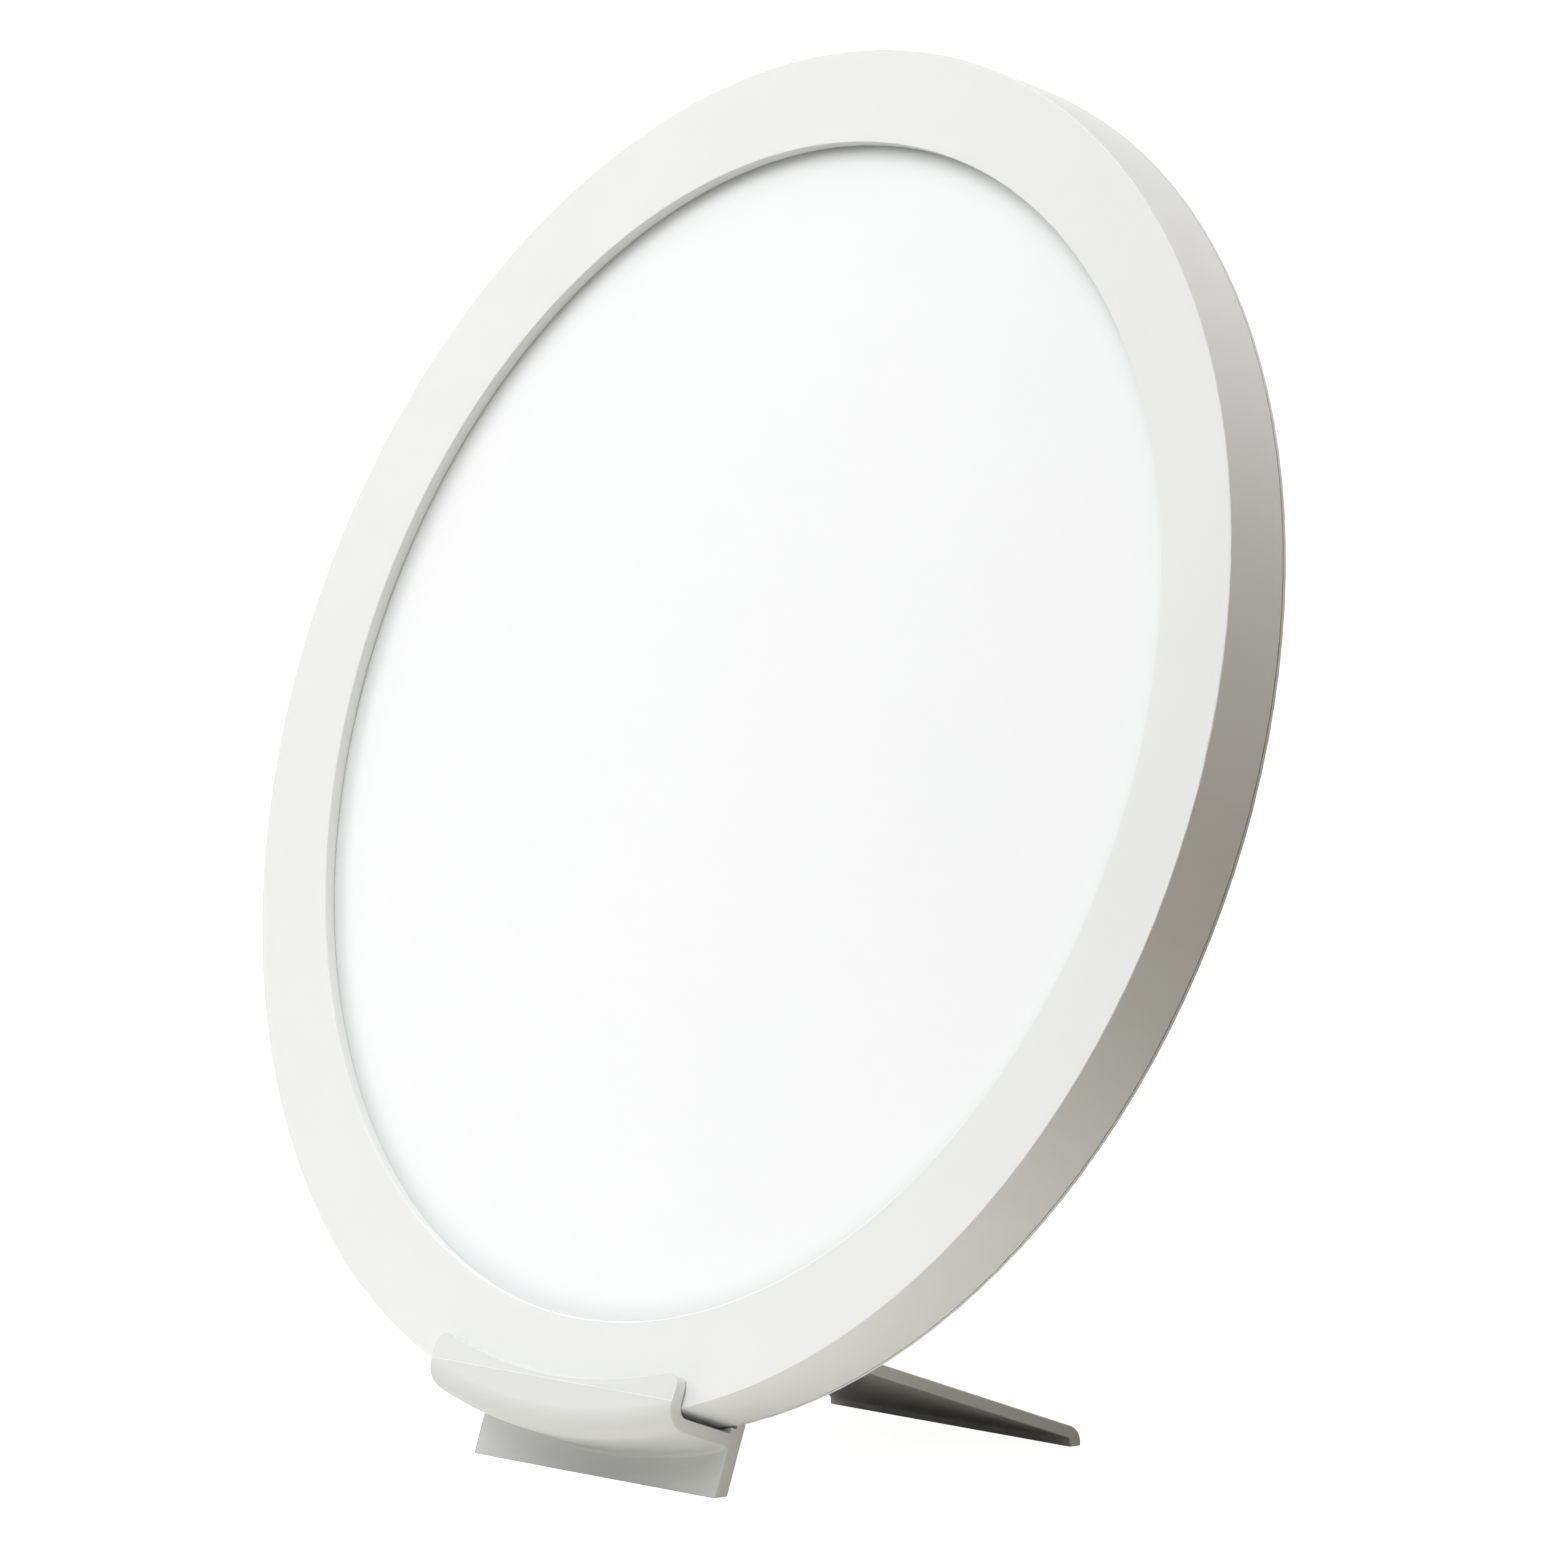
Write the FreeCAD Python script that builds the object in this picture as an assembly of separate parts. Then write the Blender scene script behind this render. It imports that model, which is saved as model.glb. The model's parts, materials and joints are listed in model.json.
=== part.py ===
"""Round light therapy lamp: an edge-lit disc that leans in a cradle with a folding rear leg.

Every piece is modelled in the panel's own frame, then leaned back and stood on the table.
Panel frame: origin at the centre of the front face, X to the right, Y into the panel, Z up along the face.
World frame: origin on the table under the middle of the cradle's foot, front towards -Y, Z up.
Lengths are millimetres and angles are degrees.
"""

import FreeCAD
import Part
import math
import os

Vector = FreeCAD.Vector

# ---------------------------------------------------------------- driving dimensions
lean_angle = 19.8           # how far the panel leans back from upright

# Panel shell
panel_radius = 150.0
panel_depth = 16.2          # front face to rear face
channel_width = 11.2        # room for the electronics, between the rim wall and the locating wall
face_wall = 2.4             # front ring's thickness
side_wall = 2.4             # rim wall of the bezel
parting_gap = 0.3           # shadow line between bezel and rear cover
cover_flange = 0.7          # edge of the rear cover that shows behind the parting line
cover_inset = 0.1           # rear cover's edge lies this far inside the rim
cover_wall = 1.8
front_edge_round = 0.2
window_edge_round = 0.25
rear_edge_round = 0.15

# Optical stack, from the front
gasket_thickness = 0.4
gasket_width = 4.7
diffuser_thickness = 2.0
film_thickness = 0.3
guide_thickness = 3.0
reflector_thickness = 0.3
guide_overlap = 2.6         # light guide reaches this far behind the ring
tray_wall = 1.0
locating_wall = 1.5         # bezel wall that centres the tray
fit_gap = 0.3               # play between loose-fitting pieces

# Light source
led_count = 72
led_length = 3.5            # along the strip
led_width = 2.8             # across the strip
led_height = 0.8            # standing off the strip
led_gap = 0.4               # lamp face to the light guide's edge
strip_thickness = 0.4
strip_edge_gap = 0.2        # strip's edges to the diffuser and the tray

# Rear cover details
rib_wall = 1.5
rib_setback = 9.6           # outer rib to the tray's edge
inner_rib_radius = 50.0
vent_count = 11
vent_pitch_angle = 7.0
vent_width = 1.8
vent_length = 14.0
vent_radius = 67.0          # middle of each slot

# Fasteners
screw_count = 8
screw_radius = 1.45
screw_length = 9.0
screw_head_radius = 2.9
screw_head_height = 1.6
head_clearance = 0.1        # round the screws' heads and shanks, and under the surface
pilot_clearance = 0.05
boss_radius = 3.0
cross_width = 0.7
cross_length = 3.2
cross_depth = 1.0
small_screw_radius = 0.8
small_screw_length = 3.4
small_head_radius = 1.5
small_head_height = 1.0
pillar_radius = 1.9
pillar_height = 2.6

# Driver board, an arc in the channel under the ring
board_thickness = 1.2
board_width = 9.0
driver_offset_angle = 4.0   # its near end, from the middle of the bay between two cover screws
driver_screw_inset = 4.2    # from the ends of the driver board to its screws
component_gap = 2.2         # between neighbours along the driver board
capacitor_radius = 2.6
capacitor_height = 5.4
capacitor_edge_round = 0.4
inductor_radius = 3.3
inductor_height = 4.0
inductor_flange = 0.8
inductor_waist_radius = 2.6
chip_length = 4.0
chip_width = 4.0
chip_height = 1.4
strip_plug_length = 6.0     # along the rim
strip_plug_width = 4.4
strip_plug_height = 3.4
strip_plug_overhang = 0.2   # past the board's inner edge
signal_plug_length = 4.0
signal_plug_width = 2.6
signal_plug_height = 4.0
signal_plug_inset = 0.7     # from the end of its board

# Power socket
jack_offset_angle = 11.0    # from the middle of its bay
jack_length = 9.0           # along the rim
jack_wall = 1.15            # round the bore
jack_bore_radius = 2.85     # takes a 5.5 mm barrel plug
jack_bore_depth = 9.0
jack_pin_radius = 1.05
jack_pin_setback = 1.0      # pin tip below the mouth
jack_sink = 0.2             # nose below the rear face
supply_lead_radius = 0.8
supply_lead_spacing = 3.0

# Power button
button_offset_angle = 11.0  # from the middle of its bay
button_radius = 4.2
button_proud = 0.6
button_travel = 0.6
button_gap = 0.25           # round the cap
button_flange_lap = 0.45    # flange past the edge of the cover's hole
button_flange = 1.0
button_play = 0.1           # flange to the cover's inner face
button_stem_radius = 2.0
button_dish_depth = 0.35
button_dish_margin = 0.8    # rim left round the dish
button_edge_round = 0.4
button_board_length = 21.0
button_board_screw_inset = 2.5
switch_side = 6.0
switch_height = 3.1
plunger_radius = 1.7
plunger_gap = 0.1
plunger_sink = 1.0          # plunger's length inside the switch body
plunger_height = 1.0        # plunger's length outside the switch body
ribbon_thickness = 0.6
ribbon_width = 2.4
ribbon_wall_gap = 0.25      # ribbon to the rim wall

# Strip feed wires
strip_lead_radius = 0.5
strip_lead_spacing = 1.6
notch_length = 5.0
notch_margin = 0.3

# Cradle
cradle_width = 81.0
cradle_wall = 3.0           # lip and trough
back_wall = 2.1             # back plate
foot_lap = 1.4              # foot's front face stands this far in front of the back plate's
step_gap = 0.4              # rim to the top of the foot, which reaches up behind the pads
lip_gap = 0.2               # lip to the panel's face
trough_gap = 1.65           # rim to the trough
lip_height = 7.4            # lip's top edge above the rim's lowest point, measured along a radius
bend_radius = 5.5           # outside of the lip's bend
back_corner_radius = 0.6
lip_corner_radius = 3.0
cradle_edge_round = 0.4     # all the way round lip, ends and back plate
belly_fillet = 0.8
crease_drop = 0.9           # straight crease below the middle of the lip's top edge
crease_step = 0.15          # the lip's face steps back this much at the crease
facet_angle = 3.5           # the lip leans back this much above the crease
belly_clearance = 5.37      # table to the lowest point of the trough, at the foot
back_plate_rise = 62.0      # back plate's top above the rim's lowest point
back_plate_corner = 12.0
pad_gap = 0.3               # pad to the rim
pad_start_angle = 4.5
pad_end_angle = 11.5
pad_end_margin = 1.2        # short of the trough's front bend and of the foot

# Folding leg and its hinge
leg_inset = 0.5             # leg's sides inside the cradle's
leg_wall = 2.7
leg_length = 92.3           # back plate to the outer foot of the leg
leg_toe_height = 3.37       # leg's top face above the outer foot, along the panel's height
leg_toe = 3.0               # thickness of the turned-down end
leg_toe_round = 4.0
leg_toe_fillet = 1.0
leg_edge_round = 0.3
pin_radius = 1.5
pin_fit = 0.02              # pin in the cradle's ears
pin_running_gap = 0.05      # pin in the leg's knuckles
pin_end_setback = 0.5
knuckle_radius = 3.2
knuckle_drop = 4.3          # leg's underside to the pin
knuckle_clearance = 0.8     # knuckle to the back plate
ear_start = 21.0            # ears from here to here, each side of the middle
ear_end = 30.0
ear_gap = 0.3               # ear to the leg's knuckles

# Modelling aids
cut_margin = 1.0            # how far a cutting shape runs past what it cuts
same_place = 0.01           # edges nearer than this to a place lie on it

# ---------------------------------------------------------------- worked-out places
cover_inner = panel_depth - cover_wall
bezel_back = panel_depth - cover_flange - parting_gap

diffuser_front = face_wall + gasket_thickness
film_front = diffuser_front + diffuser_thickness
guide_front = film_front + film_thickness
reflector_front = guide_front + guide_thickness
tray_front = reflector_front + reflector_thickness
tray_back = tray_front + tray_wall

channel_outer_radius = panel_radius - side_wall
channel_inner_radius = channel_outer_radius - channel_width
channel_radius = (channel_inner_radius + channel_outer_radius) / 2
locating_inner_radius = channel_inner_radius - locating_wall
tray_radius = locating_inner_radius - fit_gap
strip_outer_radius = tray_radius - tray_wall
strip_inner_radius = strip_outer_radius - strip_thickness
guide_radius = strip_inner_radius - led_height - led_gap
window_radius = guide_radius - guide_overlap
strip_middle = guide_front + guide_thickness / 2

board_front = face_wall + pillar_height
board_back = board_front + board_thickness
board_inner_radius = channel_radius - board_width / 2
switch_back = board_back + switch_height
plunger_top = switch_back + plunger_height
strip_plug_face = board_inner_radius - strip_plug_overhang
jack_nose_radius = jack_bore_radius + jack_wall

trough_radius = panel_radius + trough_gap
belly_radius = trough_radius + cradle_wall
lip_inner = -lip_gap
lip_outer = lip_inner - cradle_wall
lip_top_radius = panel_radius - lip_height
back_plate_front = panel_depth
back_plate_back = back_plate_front + back_wall
foot_front = back_plate_front - foot_lap
foot_wall = back_plate_back - foot_front
step_radius = panel_radius + step_gap
half_cradle = cradle_width / 2
lip_corner_height = -math.sqrt(lip_top_radius**2 - half_cradle**2)
inner_bend_radius = bend_radius - cradle_wall

lean_cos = math.cos(math.radians(lean_angle))
lean_sin = math.sin(math.radians(lean_angle))
centre_height = lean_cos * belly_radius + lean_sin * foot_front + belly_clearance


def table_height(depth):
    """Height, in the panel frame, at which the table lies under a point at this depth."""
    return (lean_sin * depth - centre_height) / lean_cos


leg_end = back_plate_back + leg_length
leg_top = table_height(leg_end) + leg_toe_height
leg_bottom = leg_top - leg_wall
pin_depth = back_plate_back + knuckle_clearance + knuckle_radius
pin_height = leg_bottom - knuckle_drop
half_leg = half_cradle - leg_inset


# ---------------------------------------------------------------- helpers
depth_axis = Vector(0, 1, 0)
origin = Vector(0, 0, 0)


def spun_point(point):
    """(radius, depth) on the half plane that is spun round the panel's axis."""
    return Vector(point.x, point.y, 0)


def side_point(point):
    """(depth, height) on the lamp's middle plane."""
    return Vector(0, point.x, point.y)


def outline(corners, to_point):
    """A flat face from (u, v, radius) corners, each corner rounded to its radius."""
    rounded = []
    for index, (u, v, radius) in enumerate(corners):
        corner = Vector(u, v, 0)
        last = corners[index - 1]
        following = corners[(index + 1) % len(corners)]
        back = (Vector(last[0], last[1], 0) - corner).normalize()
        ahead = (Vector(following[0], following[1], 0) - corner).normalize()
        half_turn = back.getAngle(ahead) / 2
        reach = radius / math.tan(half_turn)
        inward = (back + ahead).normalize()
        middle = corner + inward * (radius / math.sin(half_turn) - radius)
        rounded.append((corner + back * reach, middle, corner + ahead * reach, radius))
    edges = []
    for index, (start, middle, end, radius) in enumerate(rounded):
        if radius > 0:
            edges.append(Part.Arc(to_point(start), to_point(middle), to_point(end)).toShape())
        next_start = rounded[(index + 1) % len(rounded)][0]
        edges.append(Part.makeLine(to_point(end), to_point(next_start)))
    return Part.Face(Part.Wire(edges))


def spin(corners):
    """A solid of revolution round the panel's axis from (radius, depth, rounding) corners."""
    return outline(corners, spun_point).revolve(origin, depth_axis, 360)


def hoop(inner, outer, front, back):
    """A plain ring round the panel's axis."""
    return spin([(inner, front, 0), (outer, front, 0), (outer, back, 0), (inner, back, 0)])


def rod(radius, front, back, x=0.0, z=0.0):
    """A cylinder along the panel's axis."""
    return Part.makeCylinder(radius, back - front, Vector(x, front, z), depth_axis)


def block(width, front, back, low, high, x=0.0):
    """A box from depths, heights and a width centred on x."""
    return Part.makeBox(width, back - front, high - low, Vector(x - width / 2, front, low))


def bar(corners, half_width, middle=0.0):
    """A prism along X from (depth, height, rounding) corners."""
    face = outline(corners, side_point)
    face.translate(Vector(middle - half_width, 0, 0))
    return face.extrude(Vector(2 * half_width, 0, 0))


def around(shape, angle):
    """Swings a shape made at the bottom of the panel to an angle round it, positive towards +X."""
    return shape.rotated(origin, depth_axis, -angle)


def arc_bar(inner, outer, front, back, start_angle, end_angle):
    """Part of a ring between two angles from the bottom of the panel."""
    low, high = sorted((start_angle, end_angle))
    corners = [(front, -inner, 0), (back, -inner, 0), (back, -outer, 0), (front, -outer, 0)]
    face = around(outline(corners, side_point), low)
    return face.revolve(origin, depth_axis, low - high)


def arc_rod(radius, bend, depth, start_angle, end_angle):
    """A round lead that follows the channel between two angles."""
    low, high = sorted((start_angle, end_angle))
    circle = Part.Edge(Part.Circle(Vector(0, depth, -bend), Vector(1, 0, 0), radius))
    face = around(Part.Face(Part.Wire([circle])), low)
    return face.revolve(origin, depth_axis, low - high)


def fused(first, others):
    """One solid from touching solids, with its split faces merged."""
    return first.fuse(others).removeSplitter()


def angle_for(length, radius):
    """Angle that a length takes up round the panel at this radius."""
    return math.degrees(length / radius)


def rounded_edges(shape, radius, wanted):
    """Rounds the edges whose middle point passes a test."""
    chosen = []
    for edge in shape.Edges:
        middle = edge.valueAt((edge.FirstParameter + edge.LastParameter) / 2)
        if wanted(middle, edge):
            chosen.append(edge)
    return shape.makeFillet(radius, chosen)


# ---------------------------------------------------------------- places round the panel
bay_angle = 360.0 / screw_count
screw_angles = [bay_angle * (place + 0.5) for place in range(screw_count)]
jack_angle = jack_offset_angle - bay_angle
button_angle = bay_angle - button_offset_angle
driver_start_angle = driver_offset_angle - bay_angle


def driver_angle(distance):
    """Angle of a place on the driver board, this far along it from its near end."""
    return driver_start_angle - angle_for(distance, channel_radius)


# From the near end: two capacitors, the strip's connector, the inductor and the chip
capacitor_length = 2 * capacitor_radius
component_lengths = [capacitor_length, capacitor_length, strip_plug_length, 2 * inductor_radius, chip_length]
component_angles = []
board_reach = driver_screw_inset + small_head_radius
for length in component_lengths:
    component_angles.append(driver_angle(board_reach + component_gap + length / 2))
    board_reach += component_gap + length
capacitor_angles = component_angles[:2]
strip_plug_angle, inductor_angle, chip_angle = component_angles[2:]

driver_length = board_reach + component_gap + small_head_radius + driver_screw_inset
driver_end_angle = driver_angle(driver_length)
driver_screw_angles = (driver_angle(driver_screw_inset), driver_angle(driver_length - driver_screw_inset))
button_screw_reach = button_board_length / 2 - button_board_screw_inset
button_screw_places = (-button_screw_reach, button_screw_reach)


# ---------------------------------------------------------------- fasteners


def cover_screw():
    """Countersunk screw with a cross recess, head level with the rear face less its clearance."""
    top = panel_depth - head_clearance
    neck = top - screw_head_height
    tip = panel_depth - screw_length
    screw = spin([
        (0, tip, 0), (screw_radius, tip, 0), (screw_radius, neck, 0),
        (screw_head_radius, top, 0), (0, top, 0),
    ])
    for turn in (0, 90):
        slot = block(cross_length, top - cross_depth, top, -cross_width / 2, cross_width / 2)
        screw = screw.cut(slot.rotated(origin, depth_axis, turn))
    return screw.translated(Vector(0, 0, -channel_radius))


def screw_hole():
    """Hole and countersink in the rear cover for one screw."""
    neck = panel_depth - head_clearance - screw_head_height
    bore = screw_radius + head_clearance
    mouth = screw_head_radius + head_clearance
    inside = cover_inner - cut_margin
    outside = panel_depth + cut_margin
    corners = [
        (0, inside, 0), (bore, inside, 0), (bore, neck, 0),
        (mouth, panel_depth - head_clearance, 0), (mouth, outside, 0), (0, outside, 0),
    ]
    return spin(corners).translated(Vector(0, 0, -channel_radius))


def small_screw(x):
    """Pan-head screw that holds a circuit board on a pillar."""
    tip = board_back - small_screw_length
    shank = rod(small_screw_radius, tip, board_back, x, -channel_radius)
    head = rod(small_head_radius, board_back, board_back + small_head_height, x, -channel_radius)
    return fused(head, [shank])


def pillar(x=0.0):
    """Pillar that carries a circuit board, before its pilot hole."""
    return rod(pillar_radius, face_wall, board_front, x, -channel_radius)


def pillar_pilot(x=0.0):
    """Pilot hole that stops short of the front face."""
    bottom = board_back - small_screw_length - pilot_clearance
    return rod(small_screw_radius + pilot_clearance, bottom, board_front, x, -channel_radius)


def board_hole(x=0.0):
    """Screw hole through a circuit board."""
    return rod(small_screw_radius + head_clearance, board_front, board_back, x, -channel_radius)


def at_board_screws(make):
    """One copy of a feature at each board screw: two on the driver board, two on the button board."""
    copies = [around(make(0.0), angle) for angle in driver_screw_angles]
    copies += [around(make(x), button_angle) for x in button_screw_places]
    return copies


# ---------------------------------------------------------------- panel shell
def front_bezel():
    ring = spin([
        (window_radius, 0, window_edge_round),
        (panel_radius, 0, front_edge_round),
        (panel_radius, bezel_back, rear_edge_round),
        (channel_outer_radius, bezel_back, 0),
        (channel_outer_radius, face_wall, 0),
        (window_radius, face_wall, 0),
    ])
    locating_ring = hoop(locating_inner_radius, channel_inner_radius, face_wall, tray_front)
    boss = rod(boss_radius, face_wall, cover_inner, 0, -channel_radius)
    bosses = [around(boss, angle) for angle in screw_angles]
    body = fused(ring, [locating_ring] + bosses + at_board_screws(pillar))
    tip = panel_depth - screw_length - pilot_clearance
    pilot = rod(screw_radius + pilot_clearance, tip, cover_inner, 0, -channel_radius)
    holes = [around(pilot, angle) for angle in screw_angles]
    return body.cut(holes + at_board_screws(pillar_pilot) + [strip_notch()])


def vent_slots():
    low = -vent_radius - vent_length / 2
    slot = block(vent_width, cover_inner, panel_depth, low, low + vent_length)
    slots = []
    for side in (0, 180):
        for place in range(vent_count):
            slots.append(around(slot, side + (place - (vent_count - 1) / 2) * vent_pitch_angle))
    return slots


def rear_cover():
    edge_radius = panel_radius - cover_inset
    spigot_radius = channel_outer_radius - fit_gap
    flange_front = panel_depth - cover_flange
    plate = spin([
        (0, cover_inner, 0),
        (spigot_radius, cover_inner, 0),
        (spigot_radius, flange_front, 0),
        (edge_radius, flange_front, 0),
        (edge_radius, panel_depth, rear_edge_round),
        (0, panel_depth, 0),
    ])
    rib_radii = (inner_rib_radius, tray_radius - rib_setback)
    ribs = [hoop(radius, radius + rib_wall, tray_back, cover_inner) for radius in rib_radii]
    holes = [around(screw_hole(), angle) for angle in screw_angles]
    jack_hole = rod(jack_nose_radius + fit_gap, cover_inner, panel_depth, 0, -channel_radius)
    button_hole = rod(button_radius + button_gap, cover_inner, panel_depth, 0, -channel_radius)
    holes += [around(jack_hole, jack_angle), around(button_hole, button_angle)]
    return fused(plate, ribs).cut(holes + vent_slots())


def cover_screws():
    return Part.makeCompound([around(cover_screw(), angle) for angle in screw_angles])


# ---------------------------------------------------------------- optical stack and light source
def window_gasket():
    outer = tray_radius - fit_gap
    return hoop(outer - gasket_width, outer, face_wall, diffuser_front)


def diffuser_panel():
    return rod(tray_radius, diffuser_front, film_front)


def diffusion_film():
    return rod(guide_radius, film_front, guide_front)


def light_guide():
    return rod(guide_radius, guide_front, reflector_front)


def reflector_sheet():
    return rod(guide_radius, reflector_front, tray_front)


def strip_notch():
    """Opening in the tray's rim and the locating wall for the strip's two wires."""
    half_height = strip_lead_radius + notch_margin
    low = -channel_inner_radius - cut_margin
    high = -strip_outer_radius + cut_margin
    notch = block(notch_length, strip_middle - half_height, strip_middle + half_height, low, high)
    return around(notch, strip_plug_angle)


def led_tray():
    tray = spin([
        (0, tray_front, 0),
        (strip_outer_radius, tray_front, 0),
        (strip_outer_radius, film_front, 0),
        (tray_radius, film_front, 0),
        (tray_radius, tray_back, 0),
        (0, tray_back, 0),
    ])
    return tray.cut([strip_notch()])


def led_strip():
    front = film_front + strip_edge_gap
    return hoop(strip_inner_radius, strip_outer_radius, front, tray_front - strip_edge_gap)


def led_chips():
    """Lamps that stand inward from the strip, with the edges of their bases on its inner face."""
    seat = math.sqrt(strip_inner_radius**2 - (led_length / 2) ** 2)
    front = strip_middle - led_width / 2
    lamp = block(led_length, front, front + led_width, -seat, -seat + led_height)
    return Part.makeCompound([around(lamp, 360.0 / led_count * place) for place in range(led_count)])


# ---------------------------------------------------------------- driver electronics
def driver_board():
    outer = board_inner_radius + board_width
    board = arc_bar(board_inner_radius, outer, board_front, board_back, driver_start_angle, driver_end_angle)
    return board.cut([around(board_hole(), angle) for angle in driver_screw_angles])


def on_board(shape, angle):
    """Lifts a component made from depth 0 at the panel's bottom onto the board's rear face."""
    return around(shape.translated(Vector(0, board_back, -channel_radius)), angle)


def driver_capacitors():
    can = spin([
        (0, 0, 0), (capacitor_radius, 0, 0),
        (capacitor_radius, capacitor_height, capacitor_edge_round), (0, capacitor_height, 0),
    ])
    return Part.makeCompound([on_board(can, angle) for angle in capacitor_angles])


def driver_inductor():
    upper_flange = inductor_height - inductor_flange
    bobbin = spin([
        (0, 0, 0), (inductor_radius, 0, 0),
        (inductor_radius, inductor_flange, 0), (inductor_waist_radius, inductor_flange, 0),
        (inductor_waist_radius, upper_flange, 0), (inductor_radius, upper_flange, 0),
        (inductor_radius, inductor_height, 0), (0, inductor_height, 0),
    ])
    return on_board(bobbin, inductor_angle)


def driver_chip():
    return on_board(block(chip_length, 0, chip_height, -chip_width / 2, chip_width / 2), chip_angle)


def strip_connector():
    high = channel_radius - strip_plug_face
    body = block(strip_plug_length, 0, strip_plug_height, high - strip_plug_width, high)
    return on_board(body, strip_plug_angle)


def strip_leads():
    """Two wires from the strip's back, out through the notch to the connector's inner face."""
    length = strip_plug_face - strip_outer_radius
    leads = []
    for side in (-1, 1):
        base = Vector(side * strip_lead_spacing / 2, strip_middle, -strip_outer_radius)
        lead = Part.makeCylinder(strip_lead_radius, length, base, Vector(0, 0, -1))
        leads.append(around(lead, strip_plug_angle))
    return Part.makeCompound(leads)


def board_screws():
    return Part.makeCompound(at_board_screws(small_screw))


# ---------------------------------------------------------------- power socket and its leads
def dc_jack():
    low = -channel_radius - jack_nose_radius
    body = block(jack_length, face_wall, cover_inner, low, low + 2 * jack_nose_radius)
    mouth = panel_depth - jack_sink
    nose = rod(jack_nose_radius, cover_inner, mouth, 0, -channel_radius)
    bore = rod(jack_bore_radius, mouth - jack_bore_depth, mouth, 0, -channel_radius)
    return around(fused(body, [nose]).cut(bore), jack_angle)


def dc_jack_pin():
    mouth = panel_depth - jack_sink
    pin = rod(jack_pin_radius, mouth - jack_bore_depth, mouth - jack_pin_setback, 0, -channel_radius)
    return around(pin, jack_angle)


ribbon_radius = channel_outer_radius - ribbon_wall_gap - ribbon_thickness / 2
signal_plug_middle = ribbon_radius - (signal_plug_width - ribbon_thickness) / 2


def signal_plug(start_angle, direction):
    """Connector at the end of the flat cable, from an angle on in one direction."""
    inner = signal_plug_middle - signal_plug_width / 2
    outer = inner + signal_plug_width
    end_angle = start_angle + direction * angle_for(signal_plug_length, signal_plug_middle)
    return arc_bar(inner, outer, board_back, board_back + signal_plug_height, start_angle, end_angle)


signal_inset_angle = angle_for(signal_plug_inset, channel_radius)
button_board_edge_angle = button_angle - angle_for(button_board_length / 2, channel_radius)
driver_plug_angle = driver_start_angle - signal_inset_angle
button_plug_angle = button_board_edge_angle + signal_inset_angle


def signal_connectors():
    return Part.makeCompound([signal_plug(driver_plug_angle, -1), signal_plug(button_plug_angle, 1)])


def button_ribbon():
    """Flat cable round the rim wall from the button board to the driver board."""
    front = board_back + (signal_plug_height - ribbon_width) / 2
    inner = ribbon_radius - ribbon_thickness / 2
    outer = ribbon_radius + ribbon_thickness / 2
    return arc_bar(inner, outer, front, front + ribbon_width, driver_plug_angle, button_plug_angle)


def supply_leads():
    """Two wires from the jack's side to the near end of the driver board."""
    depth = (board_front + board_back) / 2
    leads = []
    for side in (-1, 1):
        bend = channel_radius + side * supply_lead_spacing / 2
        clear_of_jack = math.degrees(math.asin(jack_length / 2 / (bend - supply_lead_radius)))
        leads.append(arc_rod(supply_lead_radius, bend, depth, jack_angle - clear_of_jack, driver_start_angle))
    return Part.makeCompound(leads)


# ---------------------------------------------------------------- power button and switch
def button_board():
    low = -channel_radius - board_width / 2
    board = block(button_board_length, board_front, board_back, low, low + board_width)
    return around(board.cut([board_hole(x) for x in button_screw_places]), button_angle)


def tact_switch():
    low = -channel_radius - switch_side / 2
    body = block(switch_side, board_back, switch_back, low, low + switch_side)
    well_depth = plunger_sink + button_travel + plunger_gap
    well = rod(plunger_radius + plunger_gap, switch_back - well_depth, switch_back, 0, -channel_radius)
    return around(body.cut(well), button_angle)


def switch_plunger():
    plunger = rod(plunger_radius, switch_back - plunger_sink, plunger_top, 0, -channel_radius)
    return around(plunger, button_angle)


def power_button():
    """Dished cap, retaining flange and stem in one piece."""
    flange_back = cover_inner - button_play
    flange_front = flange_back - button_flange
    flange_radius = button_radius + button_gap + button_flange_lap
    top = panel_depth + button_proud
    cap = spin([
        (0, plunger_top, 0),
        (button_stem_radius, plunger_top, 0),
        (button_stem_radius, flange_front, 0),
        (flange_radius, flange_front, 0),
        (flange_radius, flange_back, 0),
        (button_radius, flange_back, 0),
        (button_radius, top, button_edge_round),
        (0, top, 0),
    ])
    dish_rim = button_radius - button_dish_margin
    dish_radius = (dish_rim**2 + button_dish_depth**2) / (2 * button_dish_depth)
    ball = Part.makeSphere(dish_radius, Vector(0, top + dish_radius - button_dish_depth, 0))
    return around(cap.cut(ball).translated(Vector(0, 0, -channel_radius)), button_angle)


# ---------------------------------------------------------------- cradle
def cradle_shape_front():
    """Front outline of lip and trough: straight ends, an arched top and rounded upper corners."""
    front = lip_outer - cut_margin
    slab = block(cradle_width, front, back_plate_front, -belly_radius - cut_margin, 0)
    slab = slab.cut(rod(lip_top_radius, front - cut_margin, back_plate_front + cut_margin))

    def at_top_corner(middle, edge):
        on_end = abs(abs(middle.x) - half_cradle) < same_place
        return on_end and abs(middle.z - lip_corner_height) < same_place

    return rounded_edges(slab, lip_corner_radius, at_top_corner)


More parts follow.
